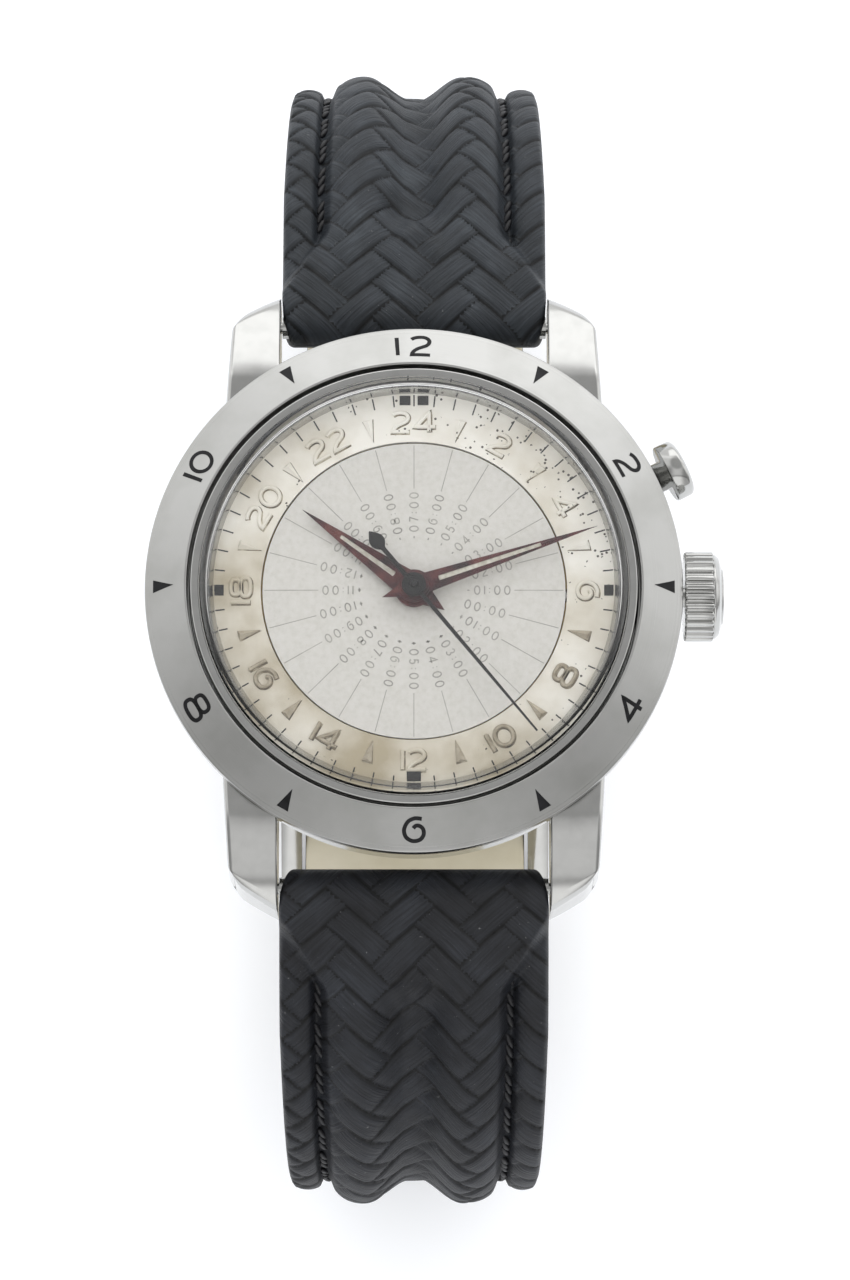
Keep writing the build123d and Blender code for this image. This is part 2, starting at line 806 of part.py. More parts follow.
lead_y = bar_y + strap_lead * cos(radians(strap_slope))
lead_z = bar_z - strap_lead * sin(radians(strap_slope))
step_height = strap_inner + flange_height + layer_gap
step_angle = degrees(acos(1 - step_height / (2 * step_r)))

with BuildLine() as short_path:
    lead = Line((bar_y, bar_z), (lead_y, lead_z))
    turn_down = JernArc(lead @ 1, lead % 1, strap_bend_r, -strap_bend_angle)
    bend_y, rear_z = (turn_down @ 1).X, (turn_down @ 1).Y
    Line(turn_down @ 1, (buckle_y, rear_z))

short_length = short_path.wire().length
bend_end = strap_lead + turn_down.length
outer_z = rear_z - step_height
bar_at = (buckle_y, rear_z + buckle_bar_rise)

with BuildLine() as long_path:
    lead = Line((-bar_y, bar_z), (-lead_y, lead_z))
    turn_down = JernArc(lead @ 1, lead % 1, strap_bend_r, strap_bend_angle)
    run = Line(turn_down @ 1, (buckle_y - step_before_bar, rear_z))
    step_out = JernArc(run @ 1, run % 1, step_r, -step_angle)
    step_back = JernArc(step_out @ 1, step_out % 1, step_r, step_angle)
    outer_run = Line(step_back @ 1, (bend_y, outer_z))
    tail_r = strap_bend_r + step_height
    tail = JernArc(outer_run @ 1, outer_run % 1, tail_r, degrees(tail_wrap / tail_r))

long_length = long_path.wire().length
step_start = bend_end + run.length
step_end = step_start + step_out.length + step_back.length
outer_end = step_end + outer_run.length


def blend(start, end, share):
    return start + (end - start) * share


def ramp(value, start, end):
    return min(max((value - start) / (end - start), 0), 1)


def strap_plane(path, distance, side):
    """A plane across the strap whose y points away from the wrist."""
    wire = path.wire()
    point = wire.position_at(distance, position_mode=PositionMode.LENGTH)
    along = wire.tangent_at(distance, position_mode=PositionMode.LENGTH)
    return Plane((0, point.X, point.Y), x_dir=(side, 0, 0), z_dir=(0, along.X, along.Y))


def half_width(path, distance):
    """Half the strap's width: the taper from the lugs, and the rounded tip of the long half."""
    half = blend(strap_lug_width, strap_width, ramp(distance, shoulder_end, taper_end)) / 2
    tip = ramp(distance, long_length - tip_length, long_length) if path is long_path else 0
    for (start, wide), (end, narrow) in zip(tip_shares, tip_shares[1:]):
        if start < tip <= end:
            half = half * blend(wide, narrow, ramp(tip, start, end))
    return half


def leather_section(plane, half, pad, hump, bottom, thickness_share=1.0):
    """A section of the outer leather: two humps, a valley, two stitch grooves and two flanges."""
    edge_x = blend(hump_edge_share, pad_edge_share, pad)
    valley = blend(blend(flange_height, valley_height, hump), pad_height, pad) * thickness_share
    peak = blend(blend(flange_height, hump_height, hump), pad_height, pad) * thickness_share + flat_crown
    groove = blend(groove_height, pad_height - pad_edge_drop / 2, pad) * thickness_share
    flange = blend(flange_height, pad_height - pad_edge_drop, pad) * thickness_share
    groove_x = edge_x + groove_share
    flange_x = groove_x + groove_share / 2
    mean = (valley + groove) / 2
    crown_shares = [i / crown_facets for i in range(crown_facets + 1)]
    with BuildSketch(plane) as section:
        with BuildLine():
            for sign in (1, -1):
                Polyline((0, valley), *[
                    (sign * blend(valley_edge_share, edge_x, share) * half,
                     blend(valley, groove, share) + (peak - mean) * sin(pi * share))
                    for share in crown_shares
                ])
                Polyline(
                    (sign * edge_x * half, groove),
                    (sign * groove_x * half, groove),
                    (sign * flange_x * half, flange),
                    (sign * (1 - edge_share) * half, flange),
                    (sign * half, flange - strap_edge),
                    (sign * half, bottom),
                    (0, bottom),
                )
        make_face()
    return section.sketch


def leather_stations(bends):
    """Distances of the sections from the lug to the last bend."""
    middle = [blend(shoulder_end, bend_end, share) for share in bend_shares]
    return [pad_start, pad_full, *[blend(pad_full, shoulder_end, share) for share in shoulder_shares],
            shoulder_end, *middle, bend_end, *bends]


def strap_section(path, side, distance):
    pad = 1 - ramp(distance, pad_full, shoulder_end)
    hump = 1 - ramp(distance, hump_full, hump_end)
    bottom = lining_thickness - blend(strap_inner, pad_height, pad)
    return leather_section(strap_plane(path, distance, side), half_width(path, distance), pad, hump, bottom)


def lug_end(path, side):
    """The rounded end of the leather round the spring bar."""
    sections = []
    for share in end_shares:
        height = (1 - (1 - share) ** 2) ** 0.5
        plane = strap_plane(path, 0, side)
        plane = plane.offset(blend(-end_reach, pad_start, share))
        half = strap_lug_width / 2 - strap_edge * (1 - height)
        sections.append(leather_section(plane, half, 1, 1, -pad_height * height, height))
    loft(sections, ruled=True)
    with BuildSketch(Plane.YZ.offset(-strap_lug_width)) as bore:
        with Locations((-side * bar_y, bar_z)):
            Circle(strap_bore_r)
    extrude(bore.sketch, amount=2 * strap_lug_width, mode=Mode.SUBTRACT)


def lining_section(path, side, distance):
    pad = 1 - ramp(distance, pad_full, shoulder_end)
    inner = -blend(strap_inner, pad_height, pad)
    with BuildSketch(strap_plane(path, distance, side)) as section:
        with Locations((0, inner)):
            Rectangle(2 * half_width(path, distance), lining_thickness, align=(Align.CENTER, Align.MIN))
    return section.sketch


hole_distances = [
    step_end + used_hole_offset + (buckle_y - (step_back @ 1).X) + (i - used_hole) * hole_spacing
    for i in range(hole_count)
]


def punch_holes():
    """The buckle holes through the long half. The one in use is drawn out by the tongue."""
    for i, distance in enumerate(hole_distances):
        across = strap_plane(long_path, distance, 1)
        with BuildSketch(Plane(across.origin, x_dir=across.z_dir, z_dir=across.y_dir)) as hole:
            if i == used_hole:
                SlotOverall(used_hole_length, 2 * used_hole_r)
            else:
                Circle(hole_r)
        extrude(hole.sketch, amount=2 * strap_inner, both=True, mode=Mode.SUBTRACT)


short_stations = leather_stations([short_length - loop_length])
long_stations = leather_stations([
    step_start,
    *[blend(step_start, step_end, share) for share in step_shares],
    step_end,
    outer_end,
    *[blend(outer_end, long_length - tip_length, share) for share in tail_shares],
    *[blend(long_length - tip_length, long_length, share) for share, wide in tip_shares],
])

with BuildPart() as short_strap:
    loft([strap_section(short_path, -1, distance) for distance in short_stations], ruled=True)
    lug_end(short_path, -1)
    with BuildSketch(Plane.YZ.offset(-strap_width / 2)):
        with BuildLine():
            inner_face = (buckle_y + loop_length, rear_z + strap_inner)
            outer_face = (buckle_y + loop_length, rear_z - flange_height)
            loop_top = (bar_at[0], bar_at[1] + loop_r)
            loop_foot = (bar_at[0], bar_at[1] - loop_r)
            Polyline(loop_foot, outer_face, inner_face, loop_top)
            ThreePointArc(loop_top, (bar_at[0] - loop_r, bar_at[1]), loop_foot)
        make_face()
    extrude(amount=strap_width)
    with BuildSketch(Plane.YZ.offset(-strap_width)):
        with Locations(bar_at):
            Circle(buckle_bar_r + seat_gap)
    extrude(amount=2 * strap_width, mode=Mode.SUBTRACT)
    with BuildSketch(Plane.YZ.offset(-tongue_width / 2 - 2 * seat_gap)):
        with Locations(bar_at):
            Circle(tongue_ring_r + 3 * seat_gap)
            Rectangle(2 * loop_r, 2 * loop_r, align=(Align.MAX, Align.CENTER))
    extrude(amount=tongue_width + 4 * seat_gap, mode=Mode.SUBTRACT)
finish(short_strap.part, "short_strap")

with BuildPart() as short_lining:
    loft([lining_section(short_path, -1, distance) for distance in short_stations], ruled=True)
finish(short_lining.part, "short_lining")

with BuildPart() as long_strap:
    loft([strap_section(long_path, 1, distance) for distance in long_stations], ruled=True)
    lug_end(long_path, 1)
    punch_holes()
finish(long_strap.part, "long_strap")

with BuildPart() as long_lining:
    loft([lining_section(long_path, 1, distance) for distance in long_stations], ruled=True)
    punch_holes()
finish(long_lining.part, "long_lining")

# Keepers, round both layers, and the buckle

base_z = outer_z - flange_height - layer_gap - keeper_wall
keeper_top = rear_z + strap_inner + layer_gap


def keeper(middle_y):
    """A closed leather band round both layers of the strap."""
    inside = strap_width / 2 + 2 * layer_gap
    with BuildSketch(Plane.XZ.offset(-middle_y - keeper_width / 2)) as band:
        with Locations((0, (keeper_top + keeper_wall + base_z) / 2)):
            RectangleRounded(2 * (inside + keeper_wall), keeper_top + keeper_wall - base_z, keeper_corner)
            Rectangle(2 * inside, keeper_top - keeper_wall - base_z, mode=Mode.SUBTRACT)
    extrude(band.sketch, amount=keeper_width)


with BuildPart() as fixed_keeper:
    keeper(fixed_keeper_y)
finish(fixed_keeper.part, "fixed_keeper")

with BuildPart() as free_keeper:
    keeper(free_keeper_y)
finish(free_keeper.part, "free_keeper")

arm_inside = strap_width / 2 + layer_gap + seat_gap
with BuildPart() as buckle_bar:
    with BuildSketch(Plane.YZ.offset(-arm_inside - frame_arm + seat_gap)):
        with Locations(bar_at):
            Circle(buckle_bar_r)
    extrude(amount=2 * (arm_inside + frame_arm - seat_gap))
finish(buckle_bar.part, "buckle_bar")

frame_bar_at = (buckle_y + frame_bar_y, base_z + frame_bar_height / 2)
with BuildPart() as buckle_frame:
    for start in (arm_inside, -arm_inside - frame_arm):
        with BuildSketch(Plane.YZ.offset(start)):
            with Locations(bar_at):
                Circle(frame_eye_r)
            with BuildLine():
                Polyline(
                    (bar_at[0], bar_at[1] + frame_eye_r),
                    (frame_bar_at[0] - frame_bar_depth / 2, frame_bar_at[1] + frame_bar_height / 2),
                    (frame_bar_at[0] - frame_bar_depth / 2, base_z + frame_corner),
                    (frame_bar_at[0] - frame_bar_depth / 2 + frame_corner, base_z),
                    (frame_bar_at[0] + frame_bar_depth / 2, base_z),
                    (bar_at[0], bar_at[1] - frame_eye_r),
                    close=True,
                )
            make_face()
            with Locations(bar_at):
                Circle(buckle_bar_r + sliding_gap, mode=Mode.SUBTRACT)
        extrude(amount=frame_arm)
    with BuildSketch(Plane.YZ.offset(-arm_inside)):
        with BuildLine():
            low, high = base_z, base_z + frame_bar_height
            near, far = frame_bar_at[0] + frame_bar_depth / 2, frame_bar_at[0] - frame_bar_depth / 2
            Polyline((near, low), (near, high), (far + frame_corner, high), (far, high - frame_corner),
                     (far, low + frame_corner), (far + frame_corner, low), close=True)
        make_face()
    extrude(amount=2 * arm_inside)
    with BuildSketch(Plane.XY.offset(base_z)):
        with Locations((0, frame_bar_at[0])):
            Rectangle(tongue_width + 3 * seat_gap, 2 * frame_bar_depth)
    extrude(amount=tongue_seat, mode=Mode.SUBTRACT)
finish(buckle_frame.part, "buckle_frame")

with BuildPart() as buckle_tongue:
    tongue_low = base_z + tongue_seat - sliding_gap - tongue_thickness
    tongue_high = tongue_low + tongue_thickness
    with BuildSketch(Plane.YZ.offset(-tongue_width / 2)):
        with Locations(bar_at):
            Circle(tongue_ring_r)
        with BuildLine():
            tip_y = frame_bar_at[0] - frame_bar_depth / 2 - tongue_overhang
            elbow_y = bar_at[0] - tongue_elbow
            Polyline(
                place(tongue_ring_r, tongue_back_angle, bar_at),
                (elbow_y, tongue_high),
                (tip_y, tongue_high),
                (tip_y, tongue_low + tongue_thickness / 3),
                (tip_y + tongue_thickness / 3, tongue_low),
                (elbow_y + tongue_thickness / 2, tongue_low),
                place(tongue_ring_r, tongue_front_angle, bar_at),
                close=True,
            )
        make_face()
        with Locations(bar_at):
            Circle(buckle_bar_r + sliding_gap, mode=Mode.SUBTRACT)
    extrude(amount=tongue_width)
finish(buckle_tongue.part, "buckle_tongue")
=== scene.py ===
import math

import bmesh
import bpy
import numpy as np
from mathutils import Matrix, Vector
from mathutils.geometry import tessellate_polygon


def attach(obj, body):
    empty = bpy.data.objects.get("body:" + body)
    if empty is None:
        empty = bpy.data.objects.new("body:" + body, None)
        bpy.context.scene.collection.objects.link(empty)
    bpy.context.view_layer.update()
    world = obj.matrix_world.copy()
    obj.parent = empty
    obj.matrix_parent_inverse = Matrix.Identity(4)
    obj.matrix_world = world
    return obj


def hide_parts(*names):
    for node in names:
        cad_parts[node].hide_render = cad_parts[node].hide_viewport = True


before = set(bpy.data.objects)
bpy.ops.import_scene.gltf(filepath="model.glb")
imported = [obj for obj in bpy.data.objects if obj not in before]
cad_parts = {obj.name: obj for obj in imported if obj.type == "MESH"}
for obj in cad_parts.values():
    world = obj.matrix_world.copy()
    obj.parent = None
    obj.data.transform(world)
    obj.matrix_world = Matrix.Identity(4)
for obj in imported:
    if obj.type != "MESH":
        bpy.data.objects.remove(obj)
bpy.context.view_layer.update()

mm = 0.001  # sizes are written in millimetres and scaled once
weldReach = 0.0005  # points nearer than this are one


# Small helpers for nodes and meshes

def linear(code):
    parts = [int(code[i:i + 2], 16) / 255 for i in (1, 3, 5)]
    return [p / 12.92 if p <= 0.04045 else ((p + 0.055) / 1.055) ** 2.4 for p in parts] + [1.0]


def connect(tree, node, inputs):
    # an input takes a value, a socket, or a node's first output
    for name, value in inputs.items():
        if isinstance(value, bpy.types.Node):
            value = value.outputs[0]
        if isinstance(value, bpy.types.NodeSocket):
            tree.links.new(value, node.inputs[name])
        else:
            node.inputs[name].default_value = value


def addNode(tree, kind, inputs=None, stops=(), **settings):
    node = tree.nodes.new(kind)
    for name, value in settings.items():
        setattr(node, name, value)
    connect(tree, node, inputs or {})
    if stops:
        elements = node.color_ramp.elements
        while len(elements) < len(stops):
            elements.new(0.5)
        for element, (position, code) in zip(elements, stops):
            element.position = position
            element.color = linear(code)
    return node


def newMaterial(name, values):
    material = bpy.data.materials.new(name)
    material.use_nodes = True
    tree = material.node_tree
    shader = tree.nodes["Principled BSDF"]
    connect(tree, shader, values)
    return material, tree, shader


def mottledFinish(name, values, perMm, detail, stops):
    # colour that drifts between the stops, with so many spots to a millimetre
    material, tree, shader = newMaterial(name, values)
    place = addNode(tree, "ShaderNodeTexCoord").outputs["Object"]
    spots = addNode(tree, "ShaderNodeTexNoise", {"Vector": place, "Scale": perMm / mm, "Detail": detail})
    connect(tree, shader, {"Base Color": addNode(tree, "ShaderNodeValToRGB", {"Fac": spots}, stops)})
    return material, tree, shader, place, spots


def plainFinish(*facts):
    return mottledFinish(*facts)[0]


def addPores(tree, place, perMm, strength):
    # leather's grain, raised by a fiftieth of a millimetre
    pores = addNode(tree, "ShaderNodeTexNoise", {"Vector": place, "Scale": perMm / mm, "Detail": 3.0})
    return addNode(tree, "ShaderNodeBump", {"Strength": strength, "Distance": 0.02 * mm, "Height": pores})


def newObject(name, data):
    item = bpy.data.objects.new(name, data)
    bpy.context.scene.collection.objects.link(item)
    return item


def finishedMesh(item):
    # the object's mesh with its modifiers applied
    bpy.context.view_layer.update()
    return bpy.data.meshes.new_from_object(item.evaluated_get(bpy.context.evaluated_depsgraph_get()))


def addObject(name, shape, isWelded=False, isSmooth=False):
    points, faces = shape
    mesh = bpy.data.meshes.new(name)
    mesh.from_pydata((np.asarray(points) * mm).tolist(), [], faces)
    if isWelded:
        shell = bmesh.new()
        shell.from_mesh(mesh)
        bmesh.ops.remove_doubles(shell, verts=shell.verts, dist=weldReach * mm)
        bmesh.ops.recalc_face_normals(shell, faces=shell.faces)
        shell.to_mesh(mesh)
        shell.free()
    mesh.polygons.foreach_set("use_smooth", [isSmooth] * len(mesh.polygons))
    return newObject(name, mesh)


def settle(piece, body, slot, replaced=()):
    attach(piece, body)
    if replaced:
        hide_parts(*replaced)
    return piece


def addPiece(name, shape, material, body, slot, replaced=(), isWelded=True, isSmooth=False):
    piece = addObject(name, shape, isWelded, isSmooth)
    piece.data.materials.append(material)
    return settle(piece, body, slot, replaced)


def addTurned(name, shape, material, body, slot, replaced=()):
    # a smooth piece whose flat faces keep their own shading
    piece = addPiece(name, shape, material, body, slot, replaced, isSmooth=True)
    piece.modifiers.new("Even", "WEIGHTED_NORMAL")
    return piece


def gather(shapes):
    points, faces, count = [], [], 0
    for somePoints, someFaces in shapes:
        points.append(np.asarray(somePoints, float))
        faces += [[i + count for i in face] for face in someFaces]
        count += len(somePoints)
    return np.vstack(points), faces


def moved(shape, matrix):
    points, faces = shape
    return np.asarray(points) @ np.array(matrix.to_3x3()).T + np.array(matrix.translation), faces


def loftLoops(loops, joined=False, capped=True):
    # closed loops of equal length, one after another
    size, last = len(loops[0]), len(loops) - 1
    pairs = [(i, i + 1) for i in range(last)] + ([(last, 0)] if joined else [])
    faces = []
    for a, b in pairs:
        for i in range(size):
            k = (i + 1) % size
            faces.append([a * size + i, a * size + k, b * size + k, b * size + i])
    if capped and not joined:
        faces.append(list(range(size))[::-1])
        faces.append([last * size + i for i in range(size)])
    return np.vstack(loops), faces


def roundCorners(profile, radius, steps=4, isLoop=True):
    # an outline with its corners turned into arcs no longer than the runs beside them
    rounded = []
    count = len(profile)
    for i, corner in enumerate(profile):
        corner = np.array(corner, float)
        if not isLoop and i in (0, count - 1):
            rounded.append(corner)
            continue
        before = np.array(profile[i - 1], float) - corner
        after = np.array(profile[(i + 1) % count], float) - corner
        lengths = np.linalg.norm(before), np.linalg.norm(after)
        before, after = before / lengths[0], after / lengths[1]
        half = math.acos(np.clip(before @ after, -1, 1)) / 2
        if half > 1.55:  # all but straight
            rounded.append(corner)
            continue
        reach = min(radius / math.tan(half), 0.45 * lengths[0], 0.45 * lengths[1])
        for step in range(steps + 1):
            t = step / steps
            rounded.append(corner + before * reach * (1 - t) ** 2 + after * reach * t ** 2)
    return rounded


def turnProfile(profile, segments=192, axis=None, isLoop=True):
    # revolves (radius, height) points about Z, or about an axis given as a matrix
    angles = np.arange(segments) * 2 * math.pi / segments
    loops = [np.stack([r * np.cos(angles), r * np.sin(angles), np.full(segments, z)], 1) for r, z in profile]
    shape = loftLoops(loops, isLoop, False)
    return shape if axis is None else moved(shape, axis)


def outwardAxis(angle, height):
    # local Z points out of the case along a radius, and local X points down
    turned = Matrix.Rotation(math.radians(angle), 4, "Z") @ Matrix.Rotation(math.pi / 2, 4, "Y")
    return Matrix.Translation((0, 0, height)) @ turned


def extrudeShape(outline, low, high):
    # a flat outline raised between two heights
    count = len(outline)
    points = [(x, y, z) for z in (low, high) for x, y in outline]
    triangles = tessellate_polygon([[Vector((x, y, 0)) for x, y in outline]])
    faces = [list(t) for t in triangles] + [[i + count for i in t][::-1] for t in triangles]
    faces += [[i, (i + 1) % count, (i + 1) % count + count, i + count] for i in range(count)]
    return np.array(points), faces


def placeFlat(angle, radius, isFlipped, height):
    # turns flat shapes to a place on the dial, tops outwards unless flipped
    turnBy = math.radians(-angle + (180 if isFlipped else 0))
    at = math.radians(angle)
    matrix = (Matrix.Translation((radius * math.sin(at), radius * math.cos(at), height))
              @ Matrix.Rotation(turnBy, 4, "Z"))
    return lambda shape: moved(shape, matrix)


print("helpers ready")

# Strap sizes, which its material follows too
strapSize = {
    "barY": 19.5, "barZ": 3.0, "lugWidth": 18.0, "width": 16.0, "taperFrom": 9.6, "taperTo": 45.0,
    "inner": 1.2, "lining": 0.9, "flange": 1.0, "hump": 1.98, "valley": 0.42, "pad": 2.25, "padFull": 1.6,
    "shoulderEnd": 6.6, "humpFull": 34.0, "humpEnd": 44.0, "noseReach": 1.3, "noseEnd": 1.2,
    "cornerWidth": 1.0, "cornerLength": 2.9, "grooveDepth": 0.15, "grooveAt": 0.712, "edgeRound": 0.35,
    "underRound": 0.12, "underShares": (1.0, 0.985, 0.5, 0.0, -0.5, -0.985, -1.0), "calmEdge": 0.03,
    "calmGroove": 0.04, "calmShare": 0.9, "stripMiddle": 0.7,
    "tip": ((0, 1), (0.25, 0.97), (0.5, 0.87), (0.7, 0.71), (0.85, 0.52), (0.95, 0.33), (1, 0.18)),
    "tipLength": 7.0, "strip": 1.9, "stripAngle": 40.0, "stripRise": 0.26, "along": 0.16, "acrossCount": 124,
    "shortEnd": 81.14, "longEnd": 106.84,
}


# Materials: patterns follow the piece, and their fineness is counted in spots to a millimetre

# Stainless steel, turned and brushed in circles: fine rings that stretch the highlights, dulled by wear
bezelSteel, tree, shader, place, wear = mottledFinish(
    "BrushedSteel", {"Metallic": 1.0, "Anisotropic": 0.6}, 0.26, 6.0, [(0.3, "#a9a9a6"), (0.6, "#b6b6b4")])
flat = addNode(tree, "ShaderNodeVectorMath", {0: place, 1: (1, 1, 0)}, operation="MULTIPLY")
radius = addNode(tree, "ShaderNodeVectorMath", {0: flat}, operation="LENGTH")
rings = addNode(tree, "ShaderNodeTexNoise", {"W": radius.outputs["Value"], "Scale": 9.0 / mm, "Detail": 4.0},
                noise_dimensions="1D")
connect(tree, shader, {
    "Normal": addNode(tree, "ShaderNodeBump", {"Strength": 1.0, "Distance": 0.004 * mm, "Height": rings}),
    "Roughness": addNode(tree, "ShaderNodeMapRange", {"Value": rings, "To Min": 0.22, "To Max": 0.42}),
    "Tangent": addNode(tree, "ShaderNodeTangent", direction_type="RADIAL", axis="Z"),
})

# Stainless steel, polished: mirror reflections with faint handling marks
polishedSteel, tree, shader, place, marks = mottledFinish(
    "PolishedSteel", {"Metallic": 1.0}, 0.9, 8.0, [(0.35, "#b5b5b3"), (0.6, "#babab8")])
gloss = addNode(tree, "ShaderNodeMapRange", {"Value": marks, "To Min": 0.11, "To Max": 0.16})
connect(tree, shader, {"Roughness": gloss})


def anyRay(tree, *names):
    # one where the light's path is of any of the kinds
    path = addNode(tree, "ShaderNodeLightPath").outputs
    seen = path[names[0]]
    for name in names[1:]:
        seen = addNode(tree, "ShaderNodeMath", {0: seen, 1: path[name]}, operation="MAXIMUM")
    return seen


# Acrylic (PMMA): clear and shiny, and it lets the light through to the dial
acrylic, tree, shader = newMaterial("ClearAcrylic", {
    "Base Color": linear("#ffffff"), "Roughness": 0.02, "IOR": 1.49, "Transmission Weight": 1.0,
    "Specular IOR Level": 0.15})
clear = addNode(tree, "ShaderNodeBsdfTransparent")
both = addNode(tree, "ShaderNodeMixShader", {"Fac": anyRay(tree, "Is Shadow Ray"), 1: shader, 2: clear})
connect(tree, tree.nodes["Material Output"], {"Surface": both})

# Aged cream lacquer on the dial: paler at the upper right and browner below, which is partly the lacquer's
# ageing and partly painted light that makes up for the shade the bezel and tension ring cast on the top of the
# dial; with black specks where it is palest
lacquer, tree, shader = newMaterial("AgedLacquerPaintedLight", {"Roughness": 0.38})
place = addNode(tree, "ShaderNodeTexCoord").outputs["Object"]
cloud = addNode(tree, "ShaderNodeTexNoise", {"Vector": place, "Scale": 0.17 / mm, "Detail": 5.0})
side = addNode(tree, "ShaderNodeSeparateXYZ", {"Vector": place}).outputs
toRight = addNode(tree, "ShaderNodeMath", {0: side["X"], 1: 0.7, 2: side["Y"]}, operation="MULTIPLY_ADD")
# painted light, partly ageing: a slant gradient that makes the lacquer paler towards the upper right and
# browner below
ageingAndPaintedLight = addNode(tree, "ShaderNodeMapRange", {
    "Value": toRight, "From Min": -16 * mm, "From Max": 16 * mm, "To Min": -0.17, "To Max": 0.17})
shade = addNode(tree, "ShaderNodeMath", {0: cloud, 1: ageingAndPaintedLight}, operation="ADD")
ground = addNode(tree, "ShaderNodeValToRGB", {"Fac": shade},
                 [(0.3, "#b2a68b"), (0.5, "#e0dacb"), (0.68, "#faf7ee")])
specks = addNode(tree, "ShaderNodeTexVoronoi", {"Vector": place, "Scale": 2.6 / mm})
rare = addNode(tree, "ShaderNodeTexNoise", {"Vector": place, "Scale": 0.9 / mm, "Detail": 2.0})
slant = addNode(tree, "ShaderNodeMath", {0: side["X"], 1: side["Y"]}, operation="ADD")
toCorner = addNode(tree, "ShaderNodeMapRange", {
    "Value": slant, "From Min": -6 * mm, "From Max": 18 * mm, "To Min": 0.7, "To Max": 0.52})
patchy = addNode(tree, "ShaderNodeMath", {0: rare, 1: toCorner}, operation="GREATER_THAN")
dot = addNode(tree, "ShaderNodeMath", {0: specks, 1: 0.22}, operation="LESS_THAN")
spotted = addNode(tree, "ShaderNodeMath", {0: patchy, 1: dot}, operation="MULTIPLY")
mixed = addNode(tree, "ShaderNodeMix", {"Factor": spotted}, data_type="RGBA")
connect(tree, mixed, {"A": ground, "B": linear("#3c3428")})
grain = addNode(tree, "ShaderNodeBump", {"Strength": 0.4, "Distance": 0.01 * mm, "Height": cloud})
connect(tree, shader, {"Base Color": mixed.outputs[2], "Normal": grain})

# Nickel silver under the lacquer, bare and dulled: a warm taupe
wornMetal = plainFinish("DulledNickel", {"Roughness": 0.4, "Metallic": 0.55}, 1.8, 3.0,
                        [(0.3, "#958b78"), (0.7, "#b3aa98")])

# Painted shadow beside the raised figures, on the side away from the light: broken brown lines
paintedShadowBrown = plainFinish("OldVarnish", {"Roughness": 0.6}, 1.3, 4.0,
                     [(0.35, "#463d2e"), (0.52, "#857a64"), (0.68, "#c6beaa")])

# Silvered disc, finely grained: a cool white with faint dust
silvered = plainFinish("SilveredDisc", {"Roughness": 0.45, "Metallic": 0.15}, 3.0, 4.0,
                       [(0.3, "#d2d0c9"), (0.5, "#d8d6d0"), (0.7, "#dcdad5")])

# Printing ink on the disc: the same grey a shade darker, worn thin
greyInk = plainFinish("GreyInk", {"Roughness": 0.5}, 0.7, 3.0, [(0.3, "#8f8d87"), (0.7, "#b3b1aa")])

# Black enamel, baked: the bezel's marks, the dial's squares and the seconds hand, black with a soft shine
blackEnamel = plainFinish("BlackEnamel", {"Roughness": 0.42, "Specular IOR Level": 0.25}, 1.5, 5.0,
                          [(0.3, "#070708"), (0.72, "#1a1a1d")])

# Burgundy enamel on the hands, thin and mottled brown
burgundy = plainFinish("BurgundyEnamel", {"Roughness": 0.38, "Specular IOR Level": 0.3}, 0.9, 6.0,
                       [(0.34, "#1f0a0d"), (0.5, "#47191f"), (0.7, "#68342f")])

# Old luminous filling in the hands' slots: chalky and dry
lume = plainFinish("SlotFilling", {"Roughness": 0.7}, 3.0, 2.0, [(0.3, "#b9b4a5"), (0.7, "#dedbd0")])

# Brass of the movement, gilt and grained: warm and satin
brass = plainFinish("GiltBrass", {"Metallic": 1.0, "Roughness": 0.32}, 1.5, 2.0,
                    [(0.3, "#b08d4f"), (0.7, "#c9a765")])

# Nitrile rubber, moulded: a matt black gasket
rubber = plainFinish("NitrileRubber", {"Roughness": 0.8}, 2.0, 2.0, [(0.3, "#111112"), (0.7, "#1d1d1f")])

# Linen thread, waxed: black, with a slight shine on each turn
thread = plainFinish("WaxedThread", {"Roughness": 0.5}, 4.0, 2.0, [(0.3, "#08080a"), (0.7, "#1c1c20")])


